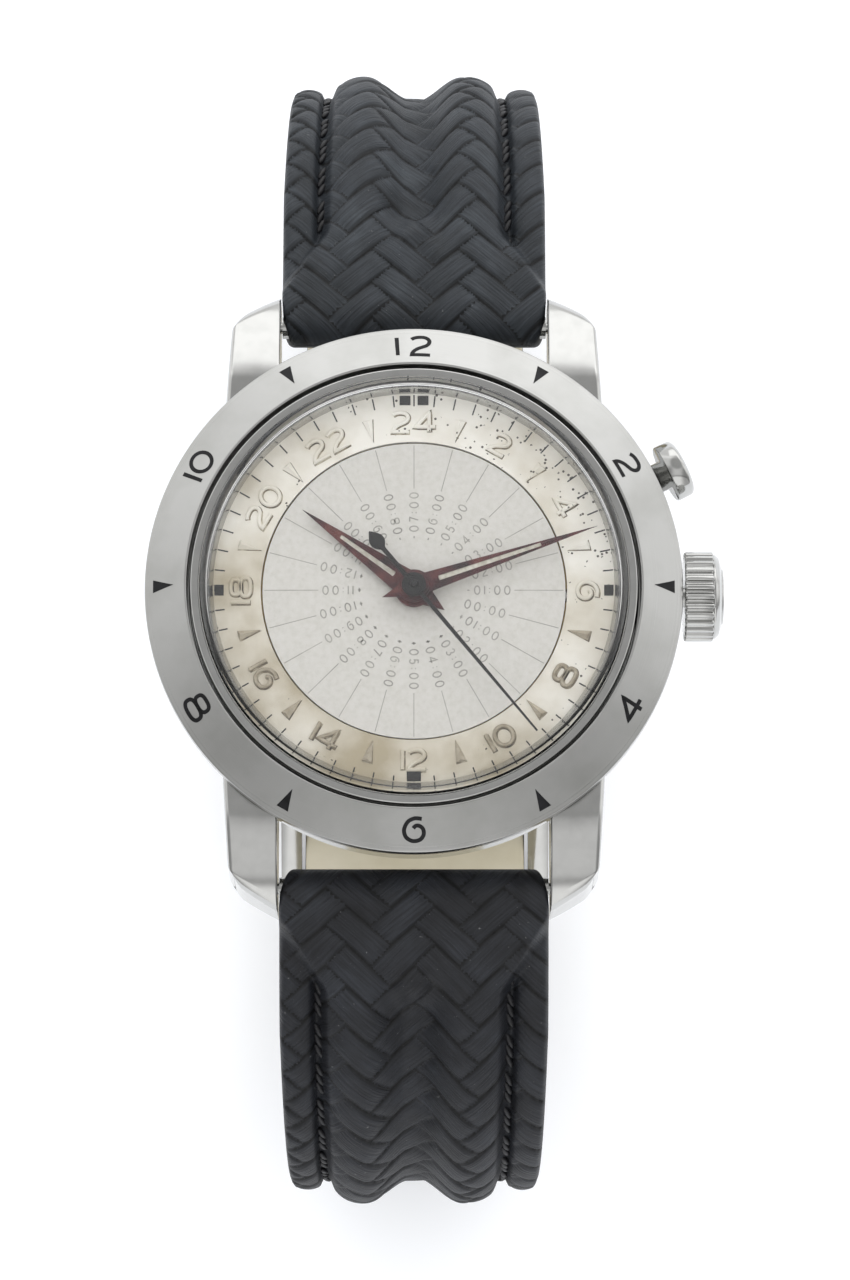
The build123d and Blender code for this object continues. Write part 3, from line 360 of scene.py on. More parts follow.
# Calf leather, embossed with plaited strips: fibres run along each strip, which the map called strand follows
def plaitedLeather(name, hasStrands, dark, middle, light):
    material, tree, shader, place, patch = mottledFinish(
        name, {"Roughness": 0.56, "Specular IOR Level": 0.35}, 0.32, 6.0,
        [(0.3, dark), (0.55, middle), (0.75, light)])
    dust = addNode(tree, "ShaderNodeTexNoise", {"Vector": place, "Scale": 3.4 / mm, "Detail": 2.0})
    dusty = addNode(tree, "ShaderNodeMapRange", {
        "Value": dust, "From Min": 0.72, "From Max": 0.8, "To Max": 0.45})
    mixed = addNode(tree, "ShaderNodeMix", {"Factor": dusty}, data_type="RGBA")
    connect(tree, mixed, {"A": shader.inputs["Base Color"].links[0].from_socket, "B": linear("#7b7c7c")})
    colour, relief = mixed.outputs[2], addPores(tree, place, 5.2, 0.6)
    if hasStrands:
        strand = addNode(tree, "ShaderNodeUVMap", uv_map="strand")
        stretched = addNode(tree, "ShaderNodeMapping", {"Vector": strand, "Scale": (7.0, 0.35, 1.0)})
        fibre = addNode(tree, "ShaderNodeTexNoise", {"Vector": stretched, "Scale": 1.0, "Detail": 3.0})
        relief = addNode(tree, "ShaderNodeBump", {
            "Strength": 1.0, "Distance": 0.1 * mm, "Height": fibre, "Normal": relief})
        # painted shade darkens each strip's two edges where it meets the next
        parts = addNode(tree, "ShaderNodeSeparateXYZ", {"Vector": strand})
        half = strapSize["strip"] / 2
        fromEdge = addNode(tree, "ShaderNodeMath", {0: parts, 1: half}, operation="PINGPONG")
        paintedCreaseShade = addNode(tree, "ShaderNodeMapRange", {
            "Value": fromEdge, "From Min": 0.02, "From Max": 0.24, "To Min": 0.1, "To Max": 1.0})
        worn = addNode(tree, "ShaderNodeMapRange", {
            "Value": fibre, "From Min": 0.35, "From Max": 0.65, "To Min": 0.7, "To Max": 1.25})
        shade = addNode(tree, "ShaderNodeMath", {0: paintedCreaseShade, 1: worn}, operation="MULTIPLY")
        colour = addNode(tree, "ShaderNodeVectorMath", {0: colour, "Scale": shade}, operation="SCALE")
    connect(tree, shader, {"Base Color": colour, "Normal": relief})
    return material


# the half at 12 is painted lighter than the other: painted light, as that half faces the lamps
litPlaitedLeather = plaitedLeather("LitPlaitedCalf", True, "#202428", "#2a2e33", "#353a3f")
strapLeather = plaitedLeather("PlaitedCalf", True, "#16171b", "#1e2025", "#26292f")
plainLeather = plaitedLeather("PlainCalf", False, "#16171b", "#1e2025", "#26292f")

# Lining leather, undyed: smooth, cream and a little soiled
lining, tree, shader, place, soil = mottledFinish(
    "CreamLining", {"Roughness": 0.6}, 0.24, 6.0, [(0.3, "#bbb39c"), (0.55, "#c4bda8"), (0.75, "#cac3b0")])
connect(tree, shader, {"Normal": addPores(tree, place, 4.5, 0.5)})

print("materials ready")


# CAD nodes that stay, with their own finish, and broken edges where they are handled

kept = [
    (polishedSteel, ("case_back", "tension_ring", "winding_stem", "crown_tube", "pusher_tube", "spring_bars",
                     "buckle_bar", "buckle_frame", "buckle_tongue")),
    (brass, ("city_wheel", "cannon_pinion", "hour_wheel", "minute_wheel", "relay_wheel", "centre_wheel",
             "third_wheel", "fourth_wheel", "main_plate", "train_bridge")),
    (lacquer, ("dial_ring",)),
    (silvered, ("city_disc",)),
    (rubber, ("crown_gasket",)),
    (plainLeather, ("fixed_keeper", "free_keeper")),
]
edges = {"fixed_keeper": 0.25, "free_keeper": 0.25, "buckle_frame": 0.15, "buckle_tongue": 0.12}

for material, names in kept:
    for name in names:
        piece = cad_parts[name]
        piece.data.materials.clear()
        piece.data.materials.append(material)
        piece.data.polygons.foreach_set("use_smooth", [name in edges] * len(piece.data.polygons))
        if name in edges:
            piece.modifiers.new("Weld", "WELD").merge_threshold = 0.002 * mm
            bevel = piece.modifiers.new("Bevel", "BEVEL")
            bevel.width = edges[name] * mm
            bevel.segments = 3
            bevel.limit_method = "ANGLE"
            bevel.angle_limit = math.radians(28)
            bevel.harden_normals = True

print("CAD nodes finished")


# Case: a turned body with a collar for the crystal, and four lugs whose tops curve down to rounded ends

caseSize = {"bore": 14.0, "foot": 16.85, "outer": 17.2, "bottom": 1.2, "waist": 1.6, "shoulder": 7.0,
            "collar": 14.95, "collarBore": 14.3, "collarTop": 9.2, "seat": 7.3, "round": 0.14}
lugSize = {
    "inner": 9.1, "outer": 12.74, "narrowing": 0.06, "root": 12.3, "foot": 0.9, "top": 6.97, "crown": 0.06,
    "reach": 23.12, "outerRound": 0.3, "innerRound": 0.12, "endRound": 0.5, "corner": 0.95,
    "slopes": [(12.3, 0), (14.6, 0), (15.4, -0.2), (17.0, -0.29), (18.5, -0.36), (20.0, -0.52), (21.5, -0.78),
               (23.2, -1.25)],  # the top line's slope at distances from the middle
}


def bunched(count, start, end):
    # stations from 0 to 1, closer together within the given shares of each end
    return np.unique(np.concatenate([
        start * (1 - np.cos(np.linspace(0, math.pi / 2, 7))), np.linspace(start, 1 - end, count),
        1 - end * (1 - np.cos(np.linspace(math.pi / 2, 0, 9)))]))


def drop(distance, radius):
    # how far a rounded edge falls at a distance inside it
    near = np.clip(1 - distance / radius, 0, 1)
    return radius * (1 - np.sqrt(1 - near ** 2))


def lugShape(sideX, sideY):
    lug = lugSize
    a, b = np.meshgrid(bunched(10, 0.06, 0.16), bunched(26, 0.02, 0.2), indexing="ij")
    width = lug["outer"] - lug["inner"]
    length = np.sqrt(lug["reach"] ** 2 - (lug["inner"] + a * width) ** 2) - lug["root"]
    fromOuter, fromEnd = (1 - a) * width, (1 - b) * length
    # the outer corner of the end is an arc in plan
    p, q = np.clip(1 - fromOuter / lug["corner"], 0, 1), np.clip(1 - fromEnd / lug["corner"], 0, 1)
    fromOuter = fromOuter + lug["corner"] * (p - p * np.sqrt(1 - q ** 2 / 2))
    fromEnd = fromEnd + lug["corner"] * (q - q * np.sqrt(1 - p ** 2 / 2))
    y = lug["root"] + length - fromEnd
    x = lug["outer"] - fromOuter - lug["narrowing"] * a * (y - lug["root"])
    line = np.linspace(lug["root"], lug["reach"] + 0.3, 400)
    fall = np.cumsum(np.interp(line, *zip(*lug["slopes"]))) * (line[1] - line[0])
    top = lug["top"] + np.interp(y, line, fall) - lug["crown"] * (2 * a - 1) ** 2
    top = top - drop(fromOuter, lug["outerRound"]) - drop(fromEnd, lug["endRound"])
    top = top - drop(x - lug["inner"], lug["innerRound"])
    rows, columns = a.shape
    half = rows * columns
    sheets = [np.stack([x, y, z], -1).reshape(-1, 3) for z in (top, np.full_like(x, lug["foot"]))]
    faces = []
    for i in range(rows - 1):
        for k in range(columns - 1):
            corner = i * columns + k
            face = [corner, corner + columns, corner + columns + 1, corner + 1]
            faces += [face, [half + v for v in face[::-1]]]
    grid = np.arange(half).reshape(rows, columns)
    border = [*grid[0], *grid[1:, -1], *grid[-1, -2::-1], *grid[-2:0:-1, 0]]
    faces += [[v, w, w + half, v + half] for v, w in zip(border, border[1:] + border[:1])]
    return np.vstack(sheets) * (sideX, sideY, 1), faces


c = caseSize
caseProfile = [
    (c["bore"], c["bottom"]), (c["foot"], c["bottom"]), (c["outer"], c["waist"]), (c["outer"], c["shoulder"]),
    (c["collar"], c["shoulder"]), (c["collar"], c["collarTop"]), (c["collarBore"], c["collarTop"]),
    (c["collarBore"], c["seat"]), (c["bore"], c["seat"]),
]
caseShapes = [turnProfile(roundCorners(caseProfile, c["round"]), 256)]
caseShapes += [lugShape(sideX, sideY) for sideX in (1, -1) for sideY in (1, -1)]
case = addPiece("case_body", gather(caseShapes), polishedSteel, "case", "polished_steel", ["case_middle"],
                isSmooth=True)
case.data.set_sharp_from_angle(angle=math.radians(40))
case.modifiers.new("Even", "WEIGHTED_NORMAL").keep_sharp = True

print("case ready")


# Bezel: a brushed cone with numbers and triangles

bezelSize = {
    "outer": 18.0, "inner": 15.17, "bottom": 7.2, "edge": 8.05, "top": 9.3, "lip": 0.15, "round": 0.12,
    "markRadius": 16.6, "numberHeight": 1.55, "stroke": 0.27, "rise": 0.012, "sunk": 0.05,
    "triangle": 1.5, "triangleBase": 0.82, "triangleRadius": 16.75,
    # the hour, whether it stands on its head, and the gap between its digits
    "numbers": ((12, False, 0.62), (2, False, 0), (4, True, 0), (6, True, 0), (8, True, 0),
                (10, False, 0.32)),
}

b = bezelSize
bezelProfile = [(b["inner"], b["bottom"]), (b["outer"], b["bottom"]), (b["outer"], b["edge"]),
                (b["inner"] + b["lip"], b["top"]), (b["inner"], b["top"])]
addTurned("bezel_ring", turnProfile(roundCorners(bezelProfile, b["round"]), 256), bezelSteel,
          "bezel", "brushed_steel", ["bezel"])


# Numbers are drawn as strokes, in a box one high

def arcPoints(centreX, centreY, radiusX, radiusY, start, end, count=18, squareness=2.0):
    power = 2 / squareness
    turns = [(math.cos(a), math.sin(a)) for a in np.radians(np.linspace(start, end, count))]
    return [(centreX + radiusX * math.copysign(abs(x) ** power, x),
             centreY + radiusY * math.copysign(abs(y) ** power, y)) for x, y in turns]


def easedLine(points, steps=5):
    # a smooth line through every point
    path = [points[0]] + points + [points[-1]]
    smooth = []
    for i in range(1, len(path) - 2):
        a, b, c, d = (np.array(path[i + k], float) for k in (-1, 0, 1, 2))
        for step in range(steps):
            t = step / steps
            smooth.append(tuple(0.5 * (2 * b + (c - a) * t + (2 * a - 5 * b + 4 * c - d) * t ** 2
                                       + (3 * b - a - 3 * c + d) * t ** 3)))
    return smooth + [points[-1]]


twoLine = easedLine([
    (0, 0.88), (0.13, 0.96), (0.3, 1.0), (0.5, 1.0), (0.66, 0.94), (0.76, 0.81), (0.75, 0.66), (0.65, 0.53),
    (0.47, 0.44), (0.27, 0.34), (0.11, 0.21), (0.03, 0.09), (0.01, 0.0)])
sixLine = easedLine([
    (0.77, 0.97), (0.47, 1.0), (0.19, 0.88), (0.04, 0.65), (0.0, 0.42), (0.09, 0.17), (0.28, 0.03),
    (0.47, 0.0), (0.7, 0.08), (0.83, 0.29), (0.81, 0.52), (0.67, 0.66), (0.5, 0.67), (0.39, 0.56)])
glyphs = {  # width, then strokes
    "0": (0.92, [arcPoints(0.46, 0.5, 0.46, 0.5, 90, 450, 36)]),
    "1": (0.0, [[(0.0, 1.0), (0.0, 0.0)]]),
    "2": (0.84, [twoLine + [(0.84, 0.0)]]),
    "3": (0.76, [arcPoints(0.36, 0.75, 0.33, 0.25, 155, -90) + arcPoints(0.36, 0.25, 0.39, 0.25, 90, -155)]),
    "4": (1.0, [[(0.68, 0.0), (0.68, 1.0), (0.0, 0.26), (1.0, 0.26)]]),
    "5": (0.74, [[(0.68, 1.0), (0.12, 1.0), (0.08, 0.55)] + arcPoints(0.35, 0.31, 0.38, 0.31, 120, -150)]),
    "6": (0.83, [sixLine]),
    "7": (0.74, [[(0.0, 1.0), (0.74, 1.0), (0.26, 0.0)]]),
    "8": (0.94, [arcPoints(0.47, 0.76, 0.39, 0.24, 90, 450, 36, 2.7),
                 arcPoints(0.47, 0.26, 0.47, 0.26, 90, 450, 40, 2.7)]),
    "9": (0.83, [[(0.83 - x, 1 - y) for x, y in sixLine]]),
    "+": (0.56, [[(0.04, 0.48), (0.52, 0.48)], [(0.28, 0.24), (0.28, 0.72)]]),
    "-": (0.5, [[(0.06, 0.48), (0.46, 0.48)]]),
    ":": (0.1, [[(0.05, 0.2), (0.05, 0.3)], [(0.05, 0.66), (0.05, 0.76)]]),
}


def densify(points, reach):
    dense = [points[0]]
    for a, b in zip(points, points[1:]):
        count = max(1, math.ceil(math.dist(a, b) / reach))
        dense += [tuple(np.array(a) + (np.array(b) - np.array(a)) * i / count) for i in range(1, count + 1)]
    return dense


def strokeSolid(points, width, rise, sunk, isCrowned=False):
    # a ribbon along the points, with square ends and a flat or a crowned top
    isRing = math.dist(points[0], points[-1]) < 1e-6
    path = np.array(points[:-1] if isRing else points, float)
    if isRing:
        ahead, behind = np.roll(path, -1, 0), np.roll(path, 1, 0)
    else:
        ahead, behind = np.vstack([path[1:], path[-1:]]), np.vstack([path[:1], path[:-1]])
    before, after = path - behind, ahead - path
    before[0] = before[0] if isRing else after[0]
    after[-1] = after[-1] if isRing else before[-1]
    before /= np.linalg.norm(before, axis=1)[:, None]
    after /= np.linalg.norm(after, axis=1)[:, None]
    along = before + after
    along /= np.linalg.norm(along, axis=1)[:, None]
    mitre = np.minimum(1 / np.maximum((along * before).sum(1), 0.3), 1.8)
    across = np.stack([-along[:, 1], along[:, 0]], 1) * mitre[:, None]
    section = [(-1, -sunk), (-1, rise), (1, rise), (1, -sunk)]
    if isCrowned:
        section = [(-1, -sunk), (-1, rise * 0.3), (-0.75, rise * 0.75), (-0.35, rise * 0.97),
                   (0.35, rise * 0.97), (0.75, rise * 0.75), (1, rise * 0.3), (1, -sunk)]
    return loftLoops([np.array([(*(at + side * s * width / 2), z) for s, z in section])
                      for at, side in zip(path, across)], joined=isRing)


def lettering(text, height, gap, squeeze=1.0):
    # strokes of a number, centred on the origin
    strokes, x = [], 0.0
    for mark in text:
        wide, lines = glyphs[mark]
        strokes += [[((px * squeeze + x) * height, (py - 0.5) * height) for px, py in line] for line in lines]
        x += wide * squeeze + gap
    middle = (x - gap) * height / 2
    return [[(px - middle, py) for px, py in line] for line in strokes]


def ontoCone(angle, isFlipped, middle):
    # wraps flat shapes round the bezel's cone about a middle radius, tops outwards unless flipped
    slope = (b["top"] - b["edge"]) / (b["outer"] - b["inner"] - b["lip"])
    lean = math.cos(math.atan(slope))
    flip = -1 if isFlipped else 1

    def wrap(shape):
        x, y, rise = np.array(shape[0]).T
        r = middle + flip * y * lean
        a = math.radians(90 - angle) - flip * x / middle
        z = b["top"] - (r - b["inner"] - b["lip"]) * slope + rise / lean
        return np.stack([r * np.cos(a), r * np.sin(a), z], 1), shape[1]
    return wrap


markShapes = []
for hour, isFlipped, gap in b["numbers"]:
    wrap = ontoCone(hour * 30, isFlipped, b["markRadius"])
    for line in lettering(str(hour), b["numberHeight"], gap):
        markShapes.append(wrap(strokeSolid(densify(line, 0.12), b["stroke"], b["rise"], b["sunk"])))
for hour in range(1, 12, 2):
    rows = []
    for share in np.linspace(0, 1, 9):  # the triangle, base outwards
        y = b["triangle"] * (0.5 - share)
        half = b["triangleBase"] / 2 * (1 - share) + 0.01
        rows.append(np.array([(-half, y, -b["sunk"]), (-half, y, b["rise"]), (half, y, b["rise"]),
                              (half, y, -b["sunk"])]))
    markShapes.append(ontoCone(hour * 30, False, b["triangleRadius"])(loftLoops(rows)))
addPiece("bezel_marks", gather(markShapes), blackEnamel, "bezel", "black_enamel")

print("bezel ready")


# Crystal: a domed cap, as clear outside as in

crystalSize = {"radius": 14.24, "skirt": 0.45, "seat": 7.3, "shoulder": 9.7, "rise": 1.58, "ceiling": 9.35,
               "innerRiseShare": 0.62}


def domeLine(radius, foot, rise, count):
    # from the top of the dome to its foot
    capRadius = (radius ** 2 + rise ** 2) / (2 * rise)
    angles = np.linspace(0, math.acos(1 - rise / capRadius), count)
    return [(capRadius * math.sin(a), foot + rise - capRadius * (1 - math.cos(a))) for a in angles]


c = crystalSize
inside = c["radius"] - c["skirt"]
crystalProfile = (domeLine(c["radius"], c["shoulder"], c["rise"], 28)
                  + [(c["radius"], c["seat"]), (inside, c["seat"])]
                  + domeLine(inside, c["ceiling"], c["rise"] * c["innerRiseShare"], 24)[::-1])
addPiece("crystal_dome", turnProfile(crystalProfile, 160), acrylic, "case", "clear_acrylic", ["crystal"],
         isSmooth=True)

print("crystal ready")


# Dial: raised numbers at the even hours, wedges at the odd ones, fine ticks and black squares

dialSize = {
    "top": 7.2, "numberRadius": 11.5, "numberHeight": 1.32, "numberGap": 0.32, "stroke": 0.26, "rise": 0.17,
    "tickInner": 12.62, "tickOuter": 13.4, "tickWidth": 0.09, "squareRadius": 12.98, "square": 0.72,
    "wedgeInner": 10.5, "wedgeOuter": 12.02, "wedgeWidth": 0.68, "wedgeRise": 0.22, "outline": 0.09,
    "sunk": 0.02, "blockRise": 0.05, "printRise": 0.012, "wedgePrintRise": 0.011, "printSunk": 0.01,
    "wedgeBack": 0.04, "wedgePeak": 0.12,
    "bareNumbers": (8, 10, 14, 16),  # the lacquer is worn off these
    # the angle, the shift to the side, and the shares of the square's width and height
    "squares": ((0, -0.6, 1, 0.9), (0, 0.6, 1, 0.9), (90, 0, 1, 1), (270, 0, 1, 1), (180, 0, 1.3, 1.45)),
}

d = dialSize
toLight = np.array([-0.045, 0.05, 0])  # the painted shadow lies on the side away from it
numberShapes, bareShapes, paintedShadowShapes = [], [], []
for hour in range(2, 26, 2):
    angle = (hour % 24) * 15
    put = placeFlat(angle, d["numberRadius"], 90 < angle < 265, d["top"])
    for line in lettering(str(hour), d["numberHeight"], d["numberGap"]):
        line = densify(line, 0.15)
        figure = put(strokeSolid(line, d["stroke"], d["rise"], d["sunk"], True))
        (bareShapes if hour in d["bareNumbers"] else numberShapes).append(figure)
        # painted shadow: a wider dark ribbon under each stroke, shifted away from the light
        points, faces = put(strokeSolid(line, d["stroke"] + d["outline"], d["printRise"], d["printSunk"]))
        paintedShadowShapes.append((points - toLight, faces))
for hour in range(1, 25, 2):
    put = placeFlat(hour * 15, 0, False, d["top"])
    tip, middle, half, grow = d["wedgeInner"], d["wedgeOuter"], d["wedgeWidth"] / 2, d["outline"] / 2
    foot = [(0, tip), (half, middle), (0, middle + d["wedgeBack"]), (-half, middle)]
    points = [(x, y, z) for z in (-d["sunk"], d["blockRise"]) for x, y in foot]
    points.append((0, middle - d["wedgePeak"], d["wedgeRise"]))
    faces = [[i, (i + 1) % 4, (i + 1) % 4 + 4, i + 4] for i in range(4)]
    faces += [[4, 5, 8], [5, 6, 8], [6, 7, 8], [7, 4, 8], [3, 2, 1, 0]]
    (bareShapes if 7 <= hour <= 17 else numberShapes).append(put((points, faces)))
    # painted shadow: a wider dark outline under each wedge, shifted away from the light
    wider = [(0, tip - grow), (half + grow, middle + grow), (-half - grow, middle + grow)]
    points, faces = put(extrudeShape(wider, -d["printSunk"], d["wedgePrintRise"]))
    paintedShadowShapes.append((points - toLight, faces))
squareShapes = []
for angle, shift, wide, tall in d["squares"]:
    put = placeFlat(angle, d["squareRadius"] - (tall - 1) * d["square"] / 2, False, d["top"])
    x, y = wide * d["square"] / 2, tall * d["square"] / 2
    corners = [(shift - x, -y), (shift + x, -y), (shift + x, y), (shift - x, y)]
    squareShapes.append(put(extrudeShape(corners, -d["sunk"], d["blockRise"])))
for name, shapes, material, slot, replaced in (
        ("dial_numbers", numberShapes, lacquer, "cream_lacquer", ["dial_wedges"]),
        ("dial_numbers_worn", bareShapes, wornMetal, "cream_lacquer", []),
        ("dial_painted_shadows", paintedShadowShapes, paintedShadowBrown, "cream_lacquer", []),
        ("dial_squares", squareShapes, blackEnamel, "black_enamel", [])):
    addPiece(name, gather(shapes), material, "case", slot, replaced, isWelded=False)


# Geometry Nodes trees: their sizes are inputs, and they end in a plain mesh

def newTree(name, values, followsMesh=False):
    tree = bpy.data.node_groups.new(name, "GeometryNodeTree")
    tree.interface.new_socket("Geometry", in_out="OUTPUT", socket_type="NodeSocketGeometry")
    if followsMesh:
        tree.interface.new_socket("Geometry", in_out="INPUT", socket_type="NodeSocketGeometry")
    for label, value in values.items():
        kind = "NodeSocketInt" if isinstance(value, int) else "NodeSocketFloat"
        tree.interface.new_socket(label, in_out="INPUT", socket_type=kind)
    return tree, addNode(tree, "NodeGroupInput").outputs


def endTree(tree, instances, material, isSmooth=False):
    real = addNode(tree, "GeometryNodeRealizeInstances", {"Geometry": instances})
    if isSmooth:
        real = addNode(tree, "GeometryNodeSetShadeSmooth", {"Geometry": real})
    finished = addNode(tree, "GeometryNodeSetMaterial", {"Geometry": real, "Material": material})
    addNode(tree, "NodeGroupOutput", {"Geometry": finished})


def bakeTree(name, tree, values, mesh=None, height=0.0):
    holder = newObject(name, mesh or bpy.data.meshes.new(name))
    modifier = holder.modifiers.new("Build", "NODES")
    modifier.node_group = tree
    for socket in tree.interface.items_tree:
        if socket.in_out == "INPUT" and socket.name in values:
            modifier[socket.identifier] = values[socket.name]
    grown = finishedMesh(holder)
    holder.modifiers.remove(modifier)
    holder.data = grown
    grown.transform(Matrix.Translation((0, 0, height)))
    return holder


# one thin block per minute round the dial's edge
low, high = d["top"] - d["sunk"], d["top"] + d["printRise"]
values = {"Count": 60, "Radius": (d["tickInner"] + d["tickOuter"]) / 2 * mm,
          "Length": (d["tickOuter"] - d["tickInner"]) * mm, "Width": d["tickWidth"] * mm,
          "Height": (high - low) * mm}
tree, given = newTree("ring_of_ticks", values)
circle = addNode(tree, "GeometryNodeMeshCircle", {"Vertices": given["Count"], "Radius": given["Radius"]})
size = addNode(tree, "ShaderNodeCombineXYZ", {
    "X": given["Length"], "Y": given["Width"], "Z": given["Height"]})
block = addNode(tree, "GeometryNodeMeshCube", {"Size": size})
order = addNode(tree, "GeometryNodeInputIndex")
pitch = addNode(tree, "ShaderNodeMath", {0: 2 * math.pi, 1: given["Count"]}, operation="DIVIDE")
angle = addNode(tree, "ShaderNodeMath", {0: order, 1: pitch}, operation="MULTIPLY")
turned = addNode(tree, "ShaderNodeCombineXYZ", {"Z": angle})
placed = addNode(tree, "GeometryNodeInstanceOnPoints", {
    "Points": circle, "Instance": block, "Rotation": turned})
endTree(tree, placed, blackEnamel)
settle(bakeTree("dial_ticks", tree, values, height=(low + high) / 2 * mm), "case", "black_enamel")

print("dial ready")


# Inner disc: the hours ahead of or behind the zero meridian, each on its own radial line

discSize = {"top": 7.12, "edge": 9.9, "textStart": 3.5, "textHeight": 0.56, "stroke": 0.085, "squeeze": 0.68,
            "gap": 0.56, "rise": 0.008, "sunk": 0.01, "lineWidth": 0.05, "lineGap": 0.3, "zeroPlace": 7}

d = discSize
discShapes = []
for place in range(24):
    offset = (place - d["zeroPlace"] + 11) % 24 - 11
    text = f"{'-' if offset < 0 else '+'}{abs(offset):02d}:00" if offset else "00:00"
    lines = lettering(text, d["textHeight"], d["gap"], d["squeeze"])
    halfLength = max(x for line in lines for x, y in line)
    middle = d["textStart"] + halfLength
    start = middle + halfLength + d["lineGap"]
    # the numbers read outwards from the middle
    ribbons = [(densify([(-y, x + middle) for x, y in line], 0.3), d["stroke"]) for line in lines]
    put = placeFlat(place * 15, 0, False, d["top"])
    for line, width in ribbons + [([(0, start), (0, d["edge"])], d["lineWidth"])]:
        discShapes.append(put(strokeSolid(line, width, d["rise"], d["sunk"])))
addPiece("disc_print", gather(discShapes), greyInk, "world_disc", "silver_disc", isWelded=False)

print("disc ready")


# Hands: faceted, with open slots and a pale filling

handSize = {
    "minute": {"angle": 71.1, "z": 8.05, "length": 12.9, "tail": 2.2, "width": 1.45, "bore": 0.6,
               "slot": (1.75, 8.9, 0.34)},  # its start, end and width
    "hour": {"angle": 306.0, "z": 7.55, "length": 9.15, "tail": 2.5, "width": 2.0, "bore": 0.82,
             "slot": (1.6, 6.0, 0.36)},
}
handShape = {"edge": 0.1, "rise": 0.2, "slotTaper": 0.7, "lift": 0.01, "filling": 0.11, "bossWall": 0.45,
             "bossEdge": 0.16, "bossTop": 0.22, "bossRound": 0.08}
h = handShape
for label, size in handSize.items():
    start, end, wide = size["slot"]
    half, narrow, tail, length = size["width"] / 2, wide * h["slotTaper"], size["tail"], size["length"]
    put = placeFlat(size["angle"], 0, False, size["z"])
    shapes = []
    for side in (1, -1):
        # each half is a plate that slopes up to the middle line, left open along the slot
        ring = [(0, -tail), (side * half, 0), (0.0, length), (0, end + 0.02), (side * narrow / 2, end),
                (side * wide / 2, start), (0, start - 0.02)]
        high = []
        for x, y in ring:
            reach = half * (1 - y / length) if y > 0 else half * (1 + y / tail)
            share = 1 - min(abs(x) / max(reach, 1e-6), 1) if reach > 1e-6 else 0
            high.append((x, y, h["edge"] + (h["rise"] - h["edge"]) * share))
        shapes.append(loftLoops([np.array([(x, y, 0.0) for x, y in ring]), np.array(high)]))
    boss = size["bore"] + h["bossWall"]
    profile = [(0, h["lift"]), (boss, h["lift"]), (boss, h["bossEdge"]), (boss - h["bossRound"], h["bossTop"]),
               (0, h["bossTop"])]
    shapes.append(turnProfile(profile, 40, isLoop=False))
    addPiece(f"{label}_hand_plate", put(gather(shapes)), burgundy, label, "burgundy_enamel",
             [f"{label}_hand"])
    strip = [(-wide / 2, start), (wide / 2, start), (narrow / 2, end), (-narrow / 2, end)]
    addPiece(f"{label}_hand_filling", put(extrudeShape(strip, h["lift"], h["filling"])), lume, label,
             "cream_lacquer", isWelded=False)

secondSize = {"angle": 140.5, "z": 8.6, "length": 12.8, "width": 0.3, "tip": 0.12, "stem": 3.1, "leaf": 1.6,
              "leafWidth": 1.0, "hub": 0.8, "thick": 0.14}
s = secondSize
put = placeFlat(s["angle"], 0, False, s["z"])
leaf = [(s["leafWidth"] / 2 * math.sin(math.pi * t) ** 0.9 * (1.25 - 0.5 * t), -s["stem"] - s["leaf"] * t)
        for t in np.linspace(0.08, 0.98, 12)]
half, tip = s["width"] / 2, s["tip"] / 2
outline = [(half, -s["stem"]), (half, 0), (tip, s["length"]), (-tip, s["length"]), (-half, 0),
           (-half, -s["stem"])] + [(-x, y) for x, y in leaf] + leaf[::-1]
hub = [(0, 0), (s["hub"], 0), (s["hub"], 0.3), (0.3, 0.36), (0.22, 0.55), (0, 0.55)]
hub = turnProfile(roundCorners(hub, 0.05, isLoop=False), 48, isLoop=False)
addPiece("seconds_hand_blade", put(gather([extrudeShape(outline, 0, s["thick"]), hub])), blackEnamel,
         "seconds", "black_enamel", ["seconds_hand"])

print("hands ready")


# Crown: a fluted skirt and a smooth cap, as (distance out, share of the flutes, inset) and (radius, distance)

crownSize = {
    "radius": 3.0, "flutes": 28, "depth": 0.24, "z": 5.4, "round": 0.12,
    "skirt": ((18.15, 1, 0.5), (18.15, 1, 0.1), (18.2, 1, 0.03), (18.3, 1, 0), (20.0, 1, 0), (20.06, 1, 0.03),
              (20.1, 1, 0.1), (20.1, 0.0, 0.3)),
    "cap": [(2.5, 20.0), (2.82, 20.05), (2.84, 20.2), (2.62, 20.46), (2.2, 20.6), (1.9, 20.64), (1.86, 20.76),
            (0, 20.77)],
}
c = crownSize
count = c["flutes"] * 12
around = np.arange(count) * 2 * math.pi / count
wave = np.clip(0.5 + 0.9 * np.cos(around * c["flutes"]), 0, 1) ** 0.7
rows = []
for out, share, inset in c["skirt"]:
    radius = c["radius"] - inset - c["depth"] * share * (1 - wave)
    rows.append(np.stack([radius * np.cos(around), radius * np.sin(around), np.full(count, out)], 1))
cap = turnProfile(roundCorners(c["cap"], c["round"], isLoop=False), 96, isLoop=False)
addTurned("crown_knob", moved(gather([loftLoops(rows), cap]), outwardAxis(0, c["z"])), polishedSteel, "crown",
          "polished_steel", ["crown"])

